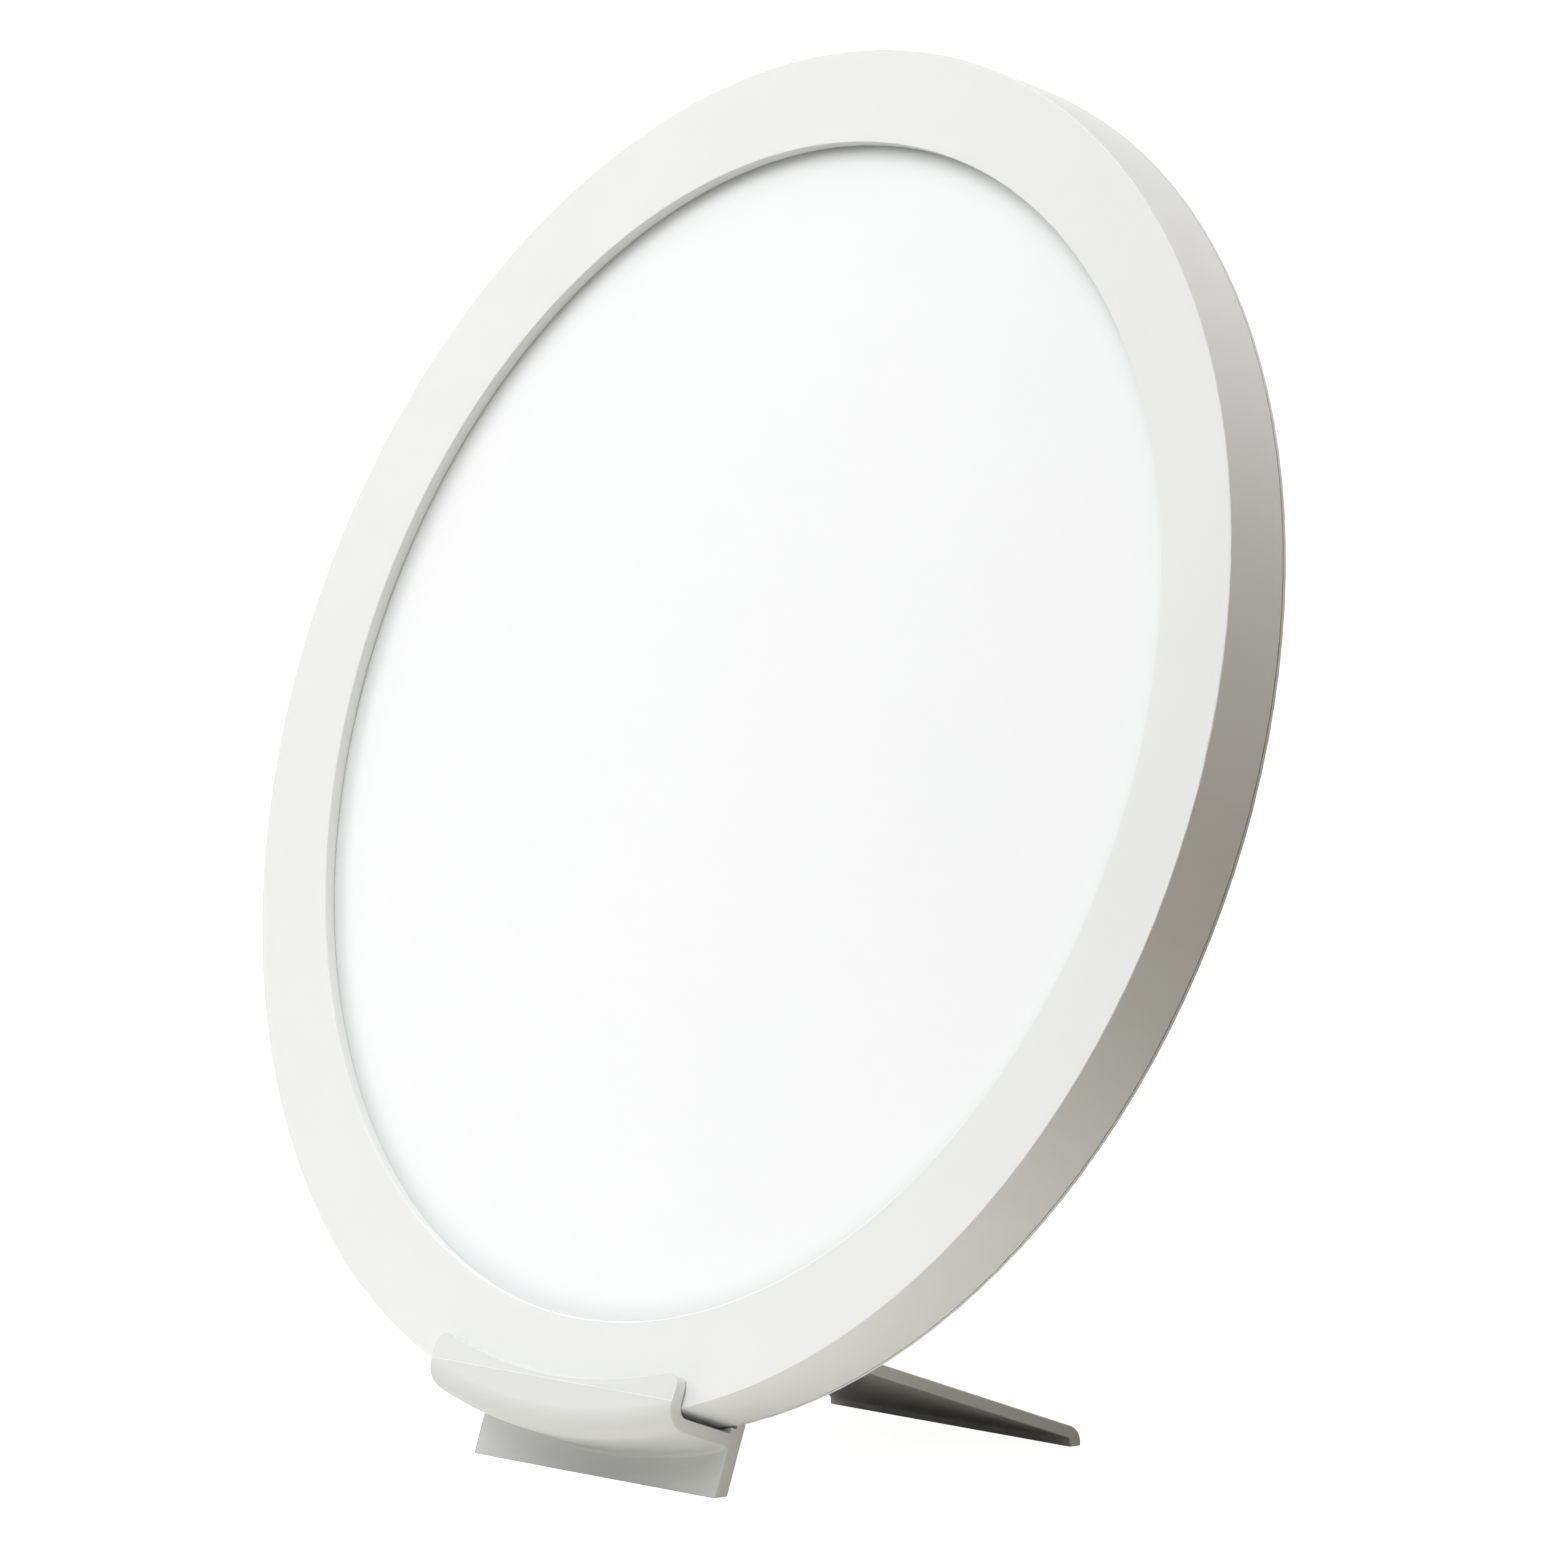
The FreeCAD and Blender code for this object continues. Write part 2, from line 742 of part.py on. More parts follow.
def lip_and_trough():
    """J-shaped section swept round the rim, trimmed to the front outline."""
    start_radius = lip_top_radius - cut_margin
    sweep_angle = math.degrees(math.asin((half_cradle + cut_margin) / start_radius))
    corners = [
        (lip_outer, -start_radius, 0),
        (lip_outer, -belly_radius, bend_radius),
        (back_plate_front, -belly_radius, 0),
        (back_plate_front, -trough_radius, 0),
        (lip_inner, -trough_radius, inner_bend_radius),
        (lip_inner, -start_radius, 0),
    ]
    swept = around(outline(corners, side_point), -sweep_angle).revolve(origin, depth_axis, -2 * sweep_angle)
    return swept.common(cradle_shape_front())


def lip_facet():
    """What is planed off the lip's face above the straight crease."""
    crease = -lip_top_radius - crease_drop
    top = lip_corner_height + cut_margin
    lean = (top - crease) * math.tan(math.radians(facet_angle))
    corners = [
        (lip_outer - cut_margin, crease, 0),
        (lip_outer, crease, 0),
        (lip_outer + crease_step, crease + crease_step, 0),
        (lip_outer + crease_step + lean, top, 0),
        (lip_outer - cut_margin, top, 0),
    ]
    return bar(corners, half_cradle + cut_margin)


def back_plate():
    """Plate behind the panel that runs down to the table."""
    top = back_plate_rise - panel_radius
    low = table_height(foot_front) - cut_margin
    slab = block(cradle_width, back_plate_front, back_plate_back, low, top)

    def at_top_corner(middle, edge):
        on_end = abs(abs(middle.x) - half_cradle) < same_place
        return on_end and abs(middle.z - top) < same_place

    return rounded_edges(slab, back_plate_corner, at_top_corner)


def foot():
    """What makes the plate thicker below the panel, up to a step that clears the rim."""
    low = table_height(foot_front) - cut_margin
    slab = block(cradle_width, foot_front, back_plate_front, low, lip_corner_height)
    return slab.cut(rod(step_radius, foot_front - cut_margin, back_plate_front + cut_margin))


def table_cut(front, back):
    """Everything below the table between two depths."""
    low = table_height(front) - panel_radius
    corners = [
        (front, table_height(front), 0),
        (back, table_height(back), 0),
        (back, low, 0),
        (front, low, 0),
    ]
    return bar(corners, half_cradle + cut_margin)


def ear(middle):
    """Lug on the rear of the back plate that holds the hinge pin."""
    half = (ear_end - ear_start) / 2
    root = back_plate_back - back_wall / 2
    lug = bar([
        (root, pin_height - knuckle_radius, 0),
        (pin_depth, pin_height - knuckle_radius, 0),
        (pin_depth, pin_height + knuckle_radius, 0),
        (root, pin_height + knuckle_radius, 0),
    ], half, middle)
    barrel = Part.makeCylinder(
        knuckle_radius, 2 * half, Vector(middle - half, pin_depth, pin_height), Vector(1, 0, 0)
    )
    return lug.fuse(barrel)


def pin_bore(radius, half_length):
    end = Vector(-half_length, pin_depth, pin_height)
    return Part.makeCylinder(radius, 2 * half_length, end, Vector(1, 0, 0))


def on_arc(radius):
    """Test for the edge where an arc of this radius meets the foot's front."""
    def wanted(middle, edge):
        off_arc = abs(math.hypot(middle.x, middle.z) - radius)
        return abs(middle.y - foot_front) < same_place and off_arc < same_place

    return wanted


def on_cradle_end(middle, edge):
    """Edges that run along the ends of the cradle, not those straight through a wall."""
    off_depth = edge.tangentAt(edge.FirstParameter).cross(depth_axis).Length
    on_step = abs(math.hypot(middle.x, middle.z) - step_radius) < same_place
    through_wall = off_depth < same_place and edge.Length < foot_wall + same_place and not on_step
    return abs(abs(middle.x) - half_cradle) < same_place and not through_wall


def stand_cradle():
    body = fused(back_plate(), [foot(), lip_and_trough()])
    body = rounded_edges(body, belly_fillet, on_arc(belly_radius))
    body = rounded_edges(body, back_corner_radius, on_arc(trough_radius))
    body = rounded_edges(body, cradle_edge_round, on_cradle_end)
    ear_middle = (ear_start + ear_end) / 2
    body = fused(body.cut(lip_facet()), [ear(-ear_middle), ear(ear_middle)])
    below_table = table_cut(lip_outer - cut_margin, pin_depth)
    return body.cut([below_table, pin_bore(pin_radius + pin_fit, half_cradle)])


def cradle_pads():
    """Two soft strips glued in the trough, which carry the rim."""
    inner = panel_radius + pad_gap
    front = lip_inner + inner_bend_radius + pad_end_margin
    back = foot_front - pad_end_margin
    pads = [
        arc_bar(inner, trough_radius, front, back, pad_start_angle, pad_end_angle),
        arc_bar(inner, trough_radius, front, back, -pad_end_angle, -pad_start_angle),
    ]
    return Part.makeCompound(pads)


# ---------------------------------------------------------------- folding leg
def on_leg_side(middle, edge):
    """Long edges of the leg's two sides, without its foot and hinge ends."""
    on_side = abs(abs(middle.x) - half_leg) < same_place
    on_table = abs(middle.z - table_height(middle.y)) < same_place
    return on_side and not on_table and middle.y > back_plate_back + same_place


def stand_leg():
    """Flat leg with a turned-down toe, and knuckles that hang the leg on the hinge pin."""
    upright = lean_sin / lean_cos
    toe_outer = table_height(leg_end)
    toe_inner_depth = leg_end - leg_toe * lean_cos
    toe_inner = table_height(toe_inner_depth)
    plate = bar([
        (back_plate_back, leg_top, 0),
        (leg_end - (leg_top - toe_outer) * upright, leg_top, leg_toe_round),
        (leg_end, toe_outer, 0),
        (toe_inner_depth, toe_inner, 0),
        (toe_inner_depth - (leg_bottom - toe_inner) * upright, leg_bottom, leg_toe_fillet),
        (back_plate_back, leg_bottom, 0),
    ], half_leg)
    plate = rounded_edges(plate, leg_edge_round, on_leg_side)
    knuckle_root = bar([
        (pin_depth - knuckle_radius, pin_height, 0),
        (pin_depth + knuckle_radius, pin_height, 0),
        (pin_depth + knuckle_radius, leg_bottom, 0),
        (pin_depth - knuckle_radius, leg_bottom, 0),
    ], half_leg)
    body = fused(plate, [knuckle_root, pin_bore(knuckle_radius, half_leg)])
    width = ear_end - ear_start + 2 * ear_gap
    low = pin_height - knuckle_radius - cut_margin
    back = pin_depth + knuckle_radius + cut_margin
    slots = []
    for side in (-1, 1):
        middle = side * (ear_start + ear_end) / 2
        slots.append(block(width, back_plate_back, back, low, leg_bottom, middle))
    return body.cut(slots + [pin_bore(pin_radius + pin_running_gap, half_leg + cut_margin)])


def hinge_pin():
    return pin_bore(pin_radius, half_leg - pin_end_setback)


# ---------------------------------------------------------------- placing and writing
nodes = {
    "front_bezel": front_bezel,
    "window_gasket": window_gasket,
    "diffuser_panel": diffuser_panel,
    "diffusion_film": diffusion_film,
    "light_guide": light_guide,
    "reflector_sheet": reflector_sheet,
    "led_tray": led_tray,
    "led_strip": led_strip,
    "led_chips": led_chips,
    "rear_cover": rear_cover,
    "cover_screws": cover_screws,
    "driver_board": driver_board,
    "driver_capacitors": driver_capacitors,
    "driver_inductor": driver_inductor,
    "driver_chip": driver_chip,
    "strip_connector": strip_connector,
    "strip_leads": strip_leads,
    "signal_connectors": signal_connectors,
    "button_ribbon": button_ribbon,
    "board_screws": board_screws,
    "dc_jack": dc_jack,
    "dc_jack_pin": dc_jack_pin,
    "supply_leads": supply_leads,
    "button_board": button_board,
    "tact_switch": tact_switch,
    "switch_plunger": switch_plunger,
    "power_button": power_button,
    "stand_cradle": stand_cradle,
    "cradle_pads": cradle_pads,
    "hinge_pin": hinge_pin,
    "stand_leg": stand_leg,
}

foot_depth = (foot_front + back_plate_back) / 2
foot_height = table_height(foot_depth)
foot_shift = Vector(0, -(lean_cos * foot_depth + lean_sin * foot_height), centre_height)


def place(shape):
    """From the panel frame to the world: lean back, then stand on the table."""
    return shape.rotated(origin, Vector(1, 0, 0), -lean_angle).translated(foot_shift)


def main():
    os.makedirs("parts", exist_ok=True)
    for name, make in nodes.items():
        shape = place(make())
        shape.exportStep(f"parts/{name}.step")
        box = shape.optimalBoundingBox()
        print(f"{name:20s} solids {len(shape.Solids):3d} valid {shape.isValid()}", end="")
        print(f"  volume {shape.Volume:10.1f}", end="")
        print(f"  x {box.XMin:7.2f} {box.XMax:7.2f}", end="")
        print(f"  y {box.YMin:7.2f} {box.YMax:7.2f}  z {box.ZMin:7.2f} {box.ZMax:7.2f}")
    print("front face centre", foot_shift)


main()
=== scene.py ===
# %% [markdown]
# # A light therapy lamp, dressed in Blender
#
# The lamp is a slim round panel, lit from its edge, that leans back in a low moulded stand. Its solids come
# from a CAD model, which this file loads as a frame that never moves. The lesson adds what a product
# picture needs: the camera, a finish for every piece, small repeated pieces made with Geometry Nodes, a
# plain pale floor and soft light.

# %% Load the frame
import json
import math

import bmesh
import bpy
from mathutils import Matrix, Vector


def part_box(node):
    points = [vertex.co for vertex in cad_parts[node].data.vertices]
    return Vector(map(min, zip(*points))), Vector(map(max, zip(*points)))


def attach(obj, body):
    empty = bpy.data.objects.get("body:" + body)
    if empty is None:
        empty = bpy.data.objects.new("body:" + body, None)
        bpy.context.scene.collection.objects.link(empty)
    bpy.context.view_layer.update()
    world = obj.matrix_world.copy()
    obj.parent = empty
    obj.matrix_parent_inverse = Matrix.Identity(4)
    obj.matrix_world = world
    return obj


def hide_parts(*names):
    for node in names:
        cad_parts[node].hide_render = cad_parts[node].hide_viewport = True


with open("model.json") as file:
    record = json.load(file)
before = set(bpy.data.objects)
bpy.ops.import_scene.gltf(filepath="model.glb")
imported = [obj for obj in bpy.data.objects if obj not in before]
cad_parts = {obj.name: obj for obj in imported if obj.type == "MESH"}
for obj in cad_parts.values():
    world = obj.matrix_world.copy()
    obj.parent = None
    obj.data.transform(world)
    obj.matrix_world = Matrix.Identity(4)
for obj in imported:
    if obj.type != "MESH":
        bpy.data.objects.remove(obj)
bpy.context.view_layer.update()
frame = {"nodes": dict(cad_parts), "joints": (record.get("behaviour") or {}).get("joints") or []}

MM = 0.001               # the frame is in metres and the sizes below are in millimetres
print("pieces in the frame:", len(frame["nodes"]))

# %% [markdown]
# ## The panel's own axes
#
# The panel leans back, so its round features don't line up with the world's axes. Its joints say how it
# leans: the disc lifts out of the stand along its own face, and the power button is pressed straight into
# its back. Those two directions and the panel's middle are all that a round feature needs.

# %% Read the axes from the joints
joints = {joint["name"]: joint for joint in frame["joints"]}
panel_up = Vector(joints["panel_lift"]["axis"]).normalized()
panel_back = -Vector(joints["button_press"]["axis"]).normalized()
panel_right = panel_back.cross(panel_up)
window_low, window_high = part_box("diffuser_panel")
panel_middle = (window_low + window_high) / 2
lean = math.atan2(panel_up.y, panel_up.z)
panel_axes = Matrix((panel_right, panel_back, panel_up)).transposed()
panel_place = Matrix.Translation(panel_middle) @ panel_axes.to_4x4()
print("lean, degrees:", round(math.degrees(lean), 2))


# %% Measure a node in those axes
def depth_of(node):
    """Least and greatest distance of a node behind the panel's middle, in millimetres."""
    points = frame["nodes"][node].data.vertices
    reach = [(point.co - panel_middle).dot(panel_back) / MM for point in points]
    return min(reach), max(reach)


def radius_of(node):
    """Least and greatest distance of a node's points from the panel's axis, in millimetres."""
    reach = []
    for vertex in frame["nodes"][node].data.vertices:
        offset = vertex.co - panel_middle
        reach.append((offset - panel_back * offset.dot(panel_back)).length / MM)
    return min(reach), max(reach)


window_radius, disc_radius = radius_of("front_bezel")
print("disc radius, mm:", round(disc_radius, 2), "window radius, mm:", round(window_radius, 2))

# %% [markdown]
# ## Camera
#
# A long lens from a few metres away keeps the disc's ellipse true, as product pictures do. Two angles and a
# distance place the camera, and a small roll tips the picture by half a degree.

# %% A place on a sphere, looking in
def seen_from(azimuth, elevation, distance, aim, roll=0.0):
    """A matrix at two angles and a distance from a point, facing it. Azimuth 0 is straight in front."""
    turn = Matrix.Rotation(math.radians(azimuth), 4, "Z")
    tip = Matrix.Rotation(math.radians(90 - elevation), 4, "X")
    tilt = Matrix.Rotation(math.radians(roll), 4, "Z")
    return Matrix.Translation(aim) @ turn @ tip @ tilt @ Matrix.Translation((0, 0, distance))


# %% Place the camera
camera_azimuth = 50.44       # degrees, round to the lamp's right
camera_elevation = 6.95
camera_roll = -0.53
camera_distance = 3616.3 * MM
camera_aim = Vector((6.56, 44.58, 145.99)) * MM
focal_length = 396.2         # for a 36 mm wide frame

camera_data = bpy.data.cameras.new("camera")
camera_data.lens = focal_length
camera_data.sensor_width = 36.0
camera_data.clip_end = 20.0
camera = bpy.data.objects.new("camera", camera_data)
camera.matrix_world = seen_from(camera_azimuth, camera_elevation, camera_distance, camera_aim, camera_roll)
bpy.context.scene.collection.objects.link(camera)
bpy.context.scene.camera = camera
bpy.context.scene.view_settings.view_transform = "Standard"
print("camera at, mm:", [round(value / MM) for value in camera.matrix_world.translation])

# %% [markdown]
# ## Helpers for node trees
#
# Colours are written as sRGB hex, as a paint chart gives them, and the shader wants linear light, so one
# function turns the one into the other. The other helper adds a node together with its settings and links,
# which keeps materials and Geometry Nodes trees short.

# %% Colour and node helpers
def linear(hex_colour):
    """An sRGB colour such as "f0efeb" as a linear colour with alpha."""
    channels = []
    for start in (0, 2, 4):
        value = int(hex_colour[start:start + 2], 16) / 255
        channels.append(value / 12.92 if value <= 0.04045 else ((value + 0.055) / 1.055) ** 2.4)
    return (*channels, 1.0)


def add(tree, kind, settings=None, inputs=None):
    """Adds a node. An input is given a plain value or another node's output to be linked to."""
    node = tree.nodes.new(kind)
    for name, value in (settings or {}).items():
        setattr(node, name, value)
    for name, value in (inputs or {}).items():
        if isinstance(value, bpy.types.NodeSocket):
            tree.links.new(value, node.inputs[name])
        else:
            node.inputs[name].default_value = value
    return node


print("mid grey 808080 in linear light:", round(linear("808080")[0], 3))

# %% [markdown]
# ## What every finish shares
#
# Each finish is one Principled shader. Its patterns are noise, drawn on the piece's own coordinates, so they
# stay put when the piece moves. Even a clean new moulding isn't perfectly even: its colour drifts a little,
# its gloss drifts more, and its surface has the grain of the tool that made it. Three short functions give
# those, each with a real size in millimetres.

# %% Start and fill a material
def start_material(name):
    """A material that holds only its shader, and the piece's own coordinates to draw with."""
    material = bpy.data.materials.new(name)
    material.use_nodes = True
    tree = material.node_tree
    tree.nodes.clear()
    shader = add(tree, "ShaderNodeBsdfPrincipled")
    add(tree, "ShaderNodeOutputMaterial", inputs={"Surface": shader.outputs["BSDF"]})
    coords = add(tree, "ShaderNodeTexCoord").outputs["Object"]
    return material, tree, shader, coords


def fill(tree, shader, **values):
    """Sets the shader's own sockets, such as Base_Color or IOR, or links a pattern to them."""
    for name, value in values.items():
        socket = shader.inputs[name.replace("_", " ")]
        if isinstance(value, bpy.types.NodeSocket):
            tree.links.new(value, socket)
        else:
            socket.default_value = value


# %% Colour drift, gloss drift and grain
def noise(tree, coords, size, detail=2.0):
    """Noise from 0 to 1 with features of a size in millimetres."""
    return add(tree, "ShaderNodeTexNoise", inputs={
        "Vector": coords, "Scale": 1 / (size * MM), "Detail": detail,
    }).outputs["Fac"]


def blend_colours(tree, factor, first, second):
    """One colour where the factor is 0 and the other where it is 1."""
    mix = add(tree, "ShaderNodeMix", {"data_type": "RGBA"}, {"Factor": factor})
    for socket, colour in ((mix.inputs[6], first), (mix.inputs[7], second)):
        if isinstance(colour, bpy.types.NodeSocket):
            tree.links.new(colour, socket)
        else:
            socket.default_value = linear(colour)
    return mix.outputs[2]


def spread(tree, value, low, high, start=0.3, end=0.7):
    """Maps the middle part of a noise to a range."""
    return add(tree, "ShaderNodeMapRange", inputs={
        "Value": value, "From Min": start, "From Max": end, "To Min": low, "To Max": high,
    }).outputs["Result"]


def drift(tree, coords, size, first, second):
    """Two close colours that fade into each other over patches of a size in millimetres."""
    return blend_colours(tree, spread(tree, noise(tree, coords, size), 0, 1), first, second)


def gloss(tree, coords, size, low, high):
    """Roughness that wanders between two values over patches of a size in millimetres."""
    return spread(tree, noise(tree, coords, size, 4.0), low, high)


def relief(tree, height, depth):
    """Bump of a depth in millimetres."""
    return add(tree, "ShaderNodeBump", inputs={"Height": height, "Distance": depth * MM}).outputs["Normal"]


def grain(tree, coords, size, depth):
    """Fine bump with a grain size and a depth in millimetres."""
    return relief(tree, noise(tree, coords, size), depth)


# %% A finish that is alike all over
def even_finish(name, colours, roughness, texture, **values):
    """Drift, gloss and grain together. The values of each start with its size in millimetres."""
    material, tree, shader, coords = start_material(name)
    fill(
        tree, shader,
        Base_Color=drift(tree, coords, *colours),
        Roughness=gloss(tree, coords, *roughness),
        Normal=grain(tree, coords, *texture),
        **values,
    )
    return material


# %% [markdown]
# ## Moulded ABS: the shell, the stand and the button
#
# All the white parts are injection-moulded ABS. The plastic takes the texture of its steel mould, so one
# recipe makes all three and only the mould's texture differs. The shell's mould was spark-eroded, which
# leaves a grain of 0.4 mm and spreads highlights wide. The stand's mould is a little smoother, so a soft
# highlight runs along the lip's top edge. The button's is smoother again, as on parts that fingers touch.

# %% The white mouldings
def moulded_abs(name, light, dark, grain_size, least_rough):
    """ABS, IOR about 1.53. The mould's grain is about 60 times as wide as it is deep."""
    return even_finish(
        name, (45, light, dark), (6, least_rough, least_rough + 0.08), (grain_size, grain_size / 60),
        IOR=1.53,
    )


finishes = {}                # a finish for each material slot of the frame
finishes["shell_plastic"] = moulded_abs("spark_eroded_abs", "edeff0", "ebedee", 0.4, 0.40)
finishes["stand_plastic"] = moulded_abs("fine_eroded_abs", "dfe1e2", "dddfdf", 0.25, 0.32)
finishes["button_plastic"] = moulded_abs("stoned_abs", "e5e7e8", "e2e4e5", 0.2, 0.26)
print("white mouldings:", len(finishes))

# %% [markdown]
# ## Acrylic: the diffuser and the light guide
#
# The window is a sheet of acrylic filled with a fine white powder, so light comes through it evenly. It is
# whiter than the shell and faintly blue, and its face is rolled to a satin that keeps the room's reflections
# soft. Behind it lies the light guide, clear acrylic that carries light inwards from its edge. Dots of white
# ink on its back let the light out. The dots grow towards the middle, where less light is left, which is a
# rule that a Voronoi texture can follow: a cell for each dot, and a dot radius that depends on the distance
# from the panel's axis.

# %% The panel's own coordinates, for patterns
def panel_coordinates(tree, coords):
    """Coordinates from the panel's middle: across, back and up."""
    local = add(tree, "ShaderNodeMapping", {"vector_type": "TEXTURE"}, {
        "Vector": coords, "Location": panel_middle, "Rotation": (-lean, 0, 0),
    }).outputs["Vector"]
    parts = add(tree, "ShaderNodeSeparateXYZ", inputs={"Vector": local})
    return local, parts.outputs["X"], parts.outputs["Y"], parts.outputs["Z"]


def sum_up(tree, operation, first, second=0.0, third=0.0):
    """One step of arithmetic on patterns."""
    step = add(tree, "ShaderNodeMath", {"operation": operation}, {0: first, 1: second, 2: third})
    return step.outputs["Value"]


def panel_distance(tree, across, up):
    """Distance from the panel's axis."""
    squares = sum_up(tree, "MULTIPLY_ADD", across, across, sum_up(tree, "MULTIPLY", up, up))
    return sum_up(tree, "SQRT", squares)


# %% Opal acrylic
painted_shade_width = 7.0          # mm, how far in from the ring a painted shade darkens the sheet


def opal_acrylic():
    """Acrylic sheet, IOR 1.49, with a white filler. Near the ring its colour is painted greyer, as painted
    shade.
    """
    material, tree, shader, coords = start_material("opal_acrylic")
    _, across, _, up = panel_coordinates(tree, coords)
    from_axis = panel_distance(tree, across, up)
    # Painted shade: the sheet's colour is blended towards the grey dfe3e4 over the last millimetres before
    # the ring, standing in for the ring's shade.
    painted_shade = spread(tree, from_axis, 0.0, 1.0, (window_radius - painted_shade_width) * MM, window_radius * MM)
    sheet = drift(tree, coords, 80, "fafcff", "f8fbfe")
    fill(
        tree, shader,
        Base_Color=blend_colours(tree, sum_up(tree, "MULTIPLY", painted_shade, painted_shade), sheet, "dfe3e4"),
        Roughness=gloss(tree, coords, 12, 0.34, 0.40),
        Normal=grain(tree, coords, 0.6, 0.002),
        IOR=1.49,
    )
    return material


finishes["opal_acrylic"] = opal_acrylic()

# %% Clear acrylic with printed dots
dot_pitch = 2.4              # mm between dots
edge_dot = 0.35              # mm, a dot's radius next to the lamps
middle_dot = 0.95            # and in the middle of the guide


def printed_clear_acrylic():
    """Cast acrylic, IOR 1.49 and nearly polished, with opaque white dots."""
    material, tree, shader, coords = start_material("printed_clear_acrylic")
    _, across, _, up = panel_coordinates(tree, coords)
    flat = add(tree, "ShaderNodeCombineXYZ", inputs={"X": across, "Y": up}).outputs["Vector"]
    cell = add(tree, "ShaderNodeTexVoronoi", {"voronoi_dimensions": "2D"}, {
        "Vector": flat, "Scale": 1 / (dot_pitch * MM), "Randomness": 0.0,
    }).outputs["Distance"]
    outward = sum_up(tree, "DIVIDE", panel_distance(tree, across, up), window_radius * MM)
    dot_radius = spread(tree, outward, middle_dot / dot_pitch, edge_dot / dot_pitch, 0.0, 1.0)
    dots = sum_up(tree, "LESS_THAN", cell, dot_radius)
    fill(
        tree, shader,
        Base_Color=blend_colours(tree, dots, "f4f8f8", "fbfbf9"),
        Roughness=spread(tree, dots, 0.04, 0.6, 0.0, 1.0),
        Transmission_Weight=spread(tree, dots, 1.0, 0.0, 0.0, 1.0),
        Normal=grain(tree, coords, 9, 0.002),
        IOR=1.49,
    )
    return material


finishes["clear_acrylic"] = printed_clear_acrylic()
print("dots across the guide:", round(2 * window_radius / dot_pitch))

# %% [markdown]
# ## Films and foam
#
# Two thin films lie on the guide. The one in front is polyester with a matt coat that spreads the light. The
# one behind is polyester foamed with tiny bubbles, one of the whitest sheets there is. A ring of closed-cell
# foam keeps dust out between the ring and the window. All are soft, even whites, told apart by gloss and by
# the size of their texture.

# %% Diffusion film, reflector film and gasket foam
foam_cell = 0.35             # mm
foam_relief = 0.06           # mm


def closed_cell_foam():
    """Polyethylene foam, whose cells are shallow cups on the cut face."""
    material, tree, shader, coords = start_material("closed_cell_foam")
    cells = add(tree, "ShaderNodeTexVoronoi", inputs={
        "Vector": coords, "Scale": 1 / (foam_cell * MM),
    }).outputs["Distance"]
    fill(
        tree, shader,
        Base_Color=blend_colours(tree, cells, "dcdcda", "f0f0ee"),
        Roughness=gloss(tree, coords, 2, 0.75, 0.85),
        Normal=relief(tree, cells, foam_relief),
        IOR=1.5,
    )
    return material


# PET, IOR 1.57. Small beads in its coat give a fine even grain and pass part of the light.
finishes["diffusion_film"] = even_finish(
    "matt_coated_polyester", (60, "f6f8fa", "f2f5f8"), (3, 0.48, 0.56), (0.2, 0.004),
    Transmission_Weight=0.35, IOR=1.57,
)
# White microcellular PET. It is matt and hardly drifts in colour.
finishes["reflector_film"] = even_finish(
    "foamed_polyester", (90, "fcfcfb", "fafaf8"), (5, 0.55, 0.65), (0.5, 0.003), IOR=1.57,
)
finishes["gasket_foam"] = closed_cell_foam()

# %% [markdown]
# ## Metals
#
# A metal's colour is in its reflections, so Metallic is 1 and the IOR stays at its default. What tells one
# metal part from the next is how it was worked: the tray is pressed from rolled aluminium, whose fine lines
# run one way, the screws are zinc-plated, which leaves small cloudy spangles, the socket's contact is
# brass under dull nickel, and the hinge pin is ground stainless steel with rings round it.

# %% Aluminium, zinc, nickel and steel
def worked_metal(name, light, dark, patch, stretch, least_rough, depth):
    """Metal with streaks. The stretch says how many times as long as wide they are along each axis."""
    material, tree, shader, coords = start_material(name)
    drawn_out = add(tree, "ShaderNodeMapping", {"vector_type": "TEXTURE"}, {
        "Vector": coords, "Scale": stretch,
    }).outputs["Vector"]
    streaks = noise(tree, drawn_out, patch, 4.0)
    fill(
        tree, shader,
        Base_Color=blend_colours(tree, spread(tree, streaks, 0, 1), light, dark),
        Roughness=spread(tree, streaks, least_rough, least_rough + 0.12),
        Normal=relief(tree, streaks, depth),
        Metallic=1.0,
    )
    return material


along_x = (40, 1, 1)
around_x = (1, 30, 30)
no_grain = (1, 1, 1)
finishes["tray_aluminium"] = worked_metal("rolled_aluminium", "dddee0", "cdced1", 0.5, along_x, 0.30, 0.003)
finishes["screw_steel"] = worked_metal("zinc_plated_steel", "d2d3d2", "b4b6b8", 0.6, no_grain, 0.24, 0.004)
finishes["socket_pin"] = worked_metal("nickel_plated_brass", "d9d3c5", "c8c0ae", 0.5, no_grain, 0.20, 0.002)
finishes["hinge_steel"] = worked_metal(
    "ground_stainless_steel", "cfcfce", "b9b9b8", 0.15, around_x, 0.22, 0.003,
)
print("finishes so far:", len(finishes))

# %% [markdown]
# ## Circuits
#
# The lamps sit on a flexible strip and the driver on small rigid boards. Both are laminates with copper
# tracks under a coat of lacquer, which is white on the strip, to lose no light, and green on the boards. On
# the strip the tracks repeat once for each lamp, so the pattern is worked out from the angle round the
# panel. On the boards the tracks are the contour lines of a blocky Voronoi distance, which run straight and
# turn at right angles as real ones do.

# %% The strip's lacquer and pads
lamp_count = 72
pad_share = 0.34             # of each lamp's stretch of strip is bare tinned copper
pad_half_height = 0.75       # mm
strip_depth = sum(depth_of("led_strip")) / 2


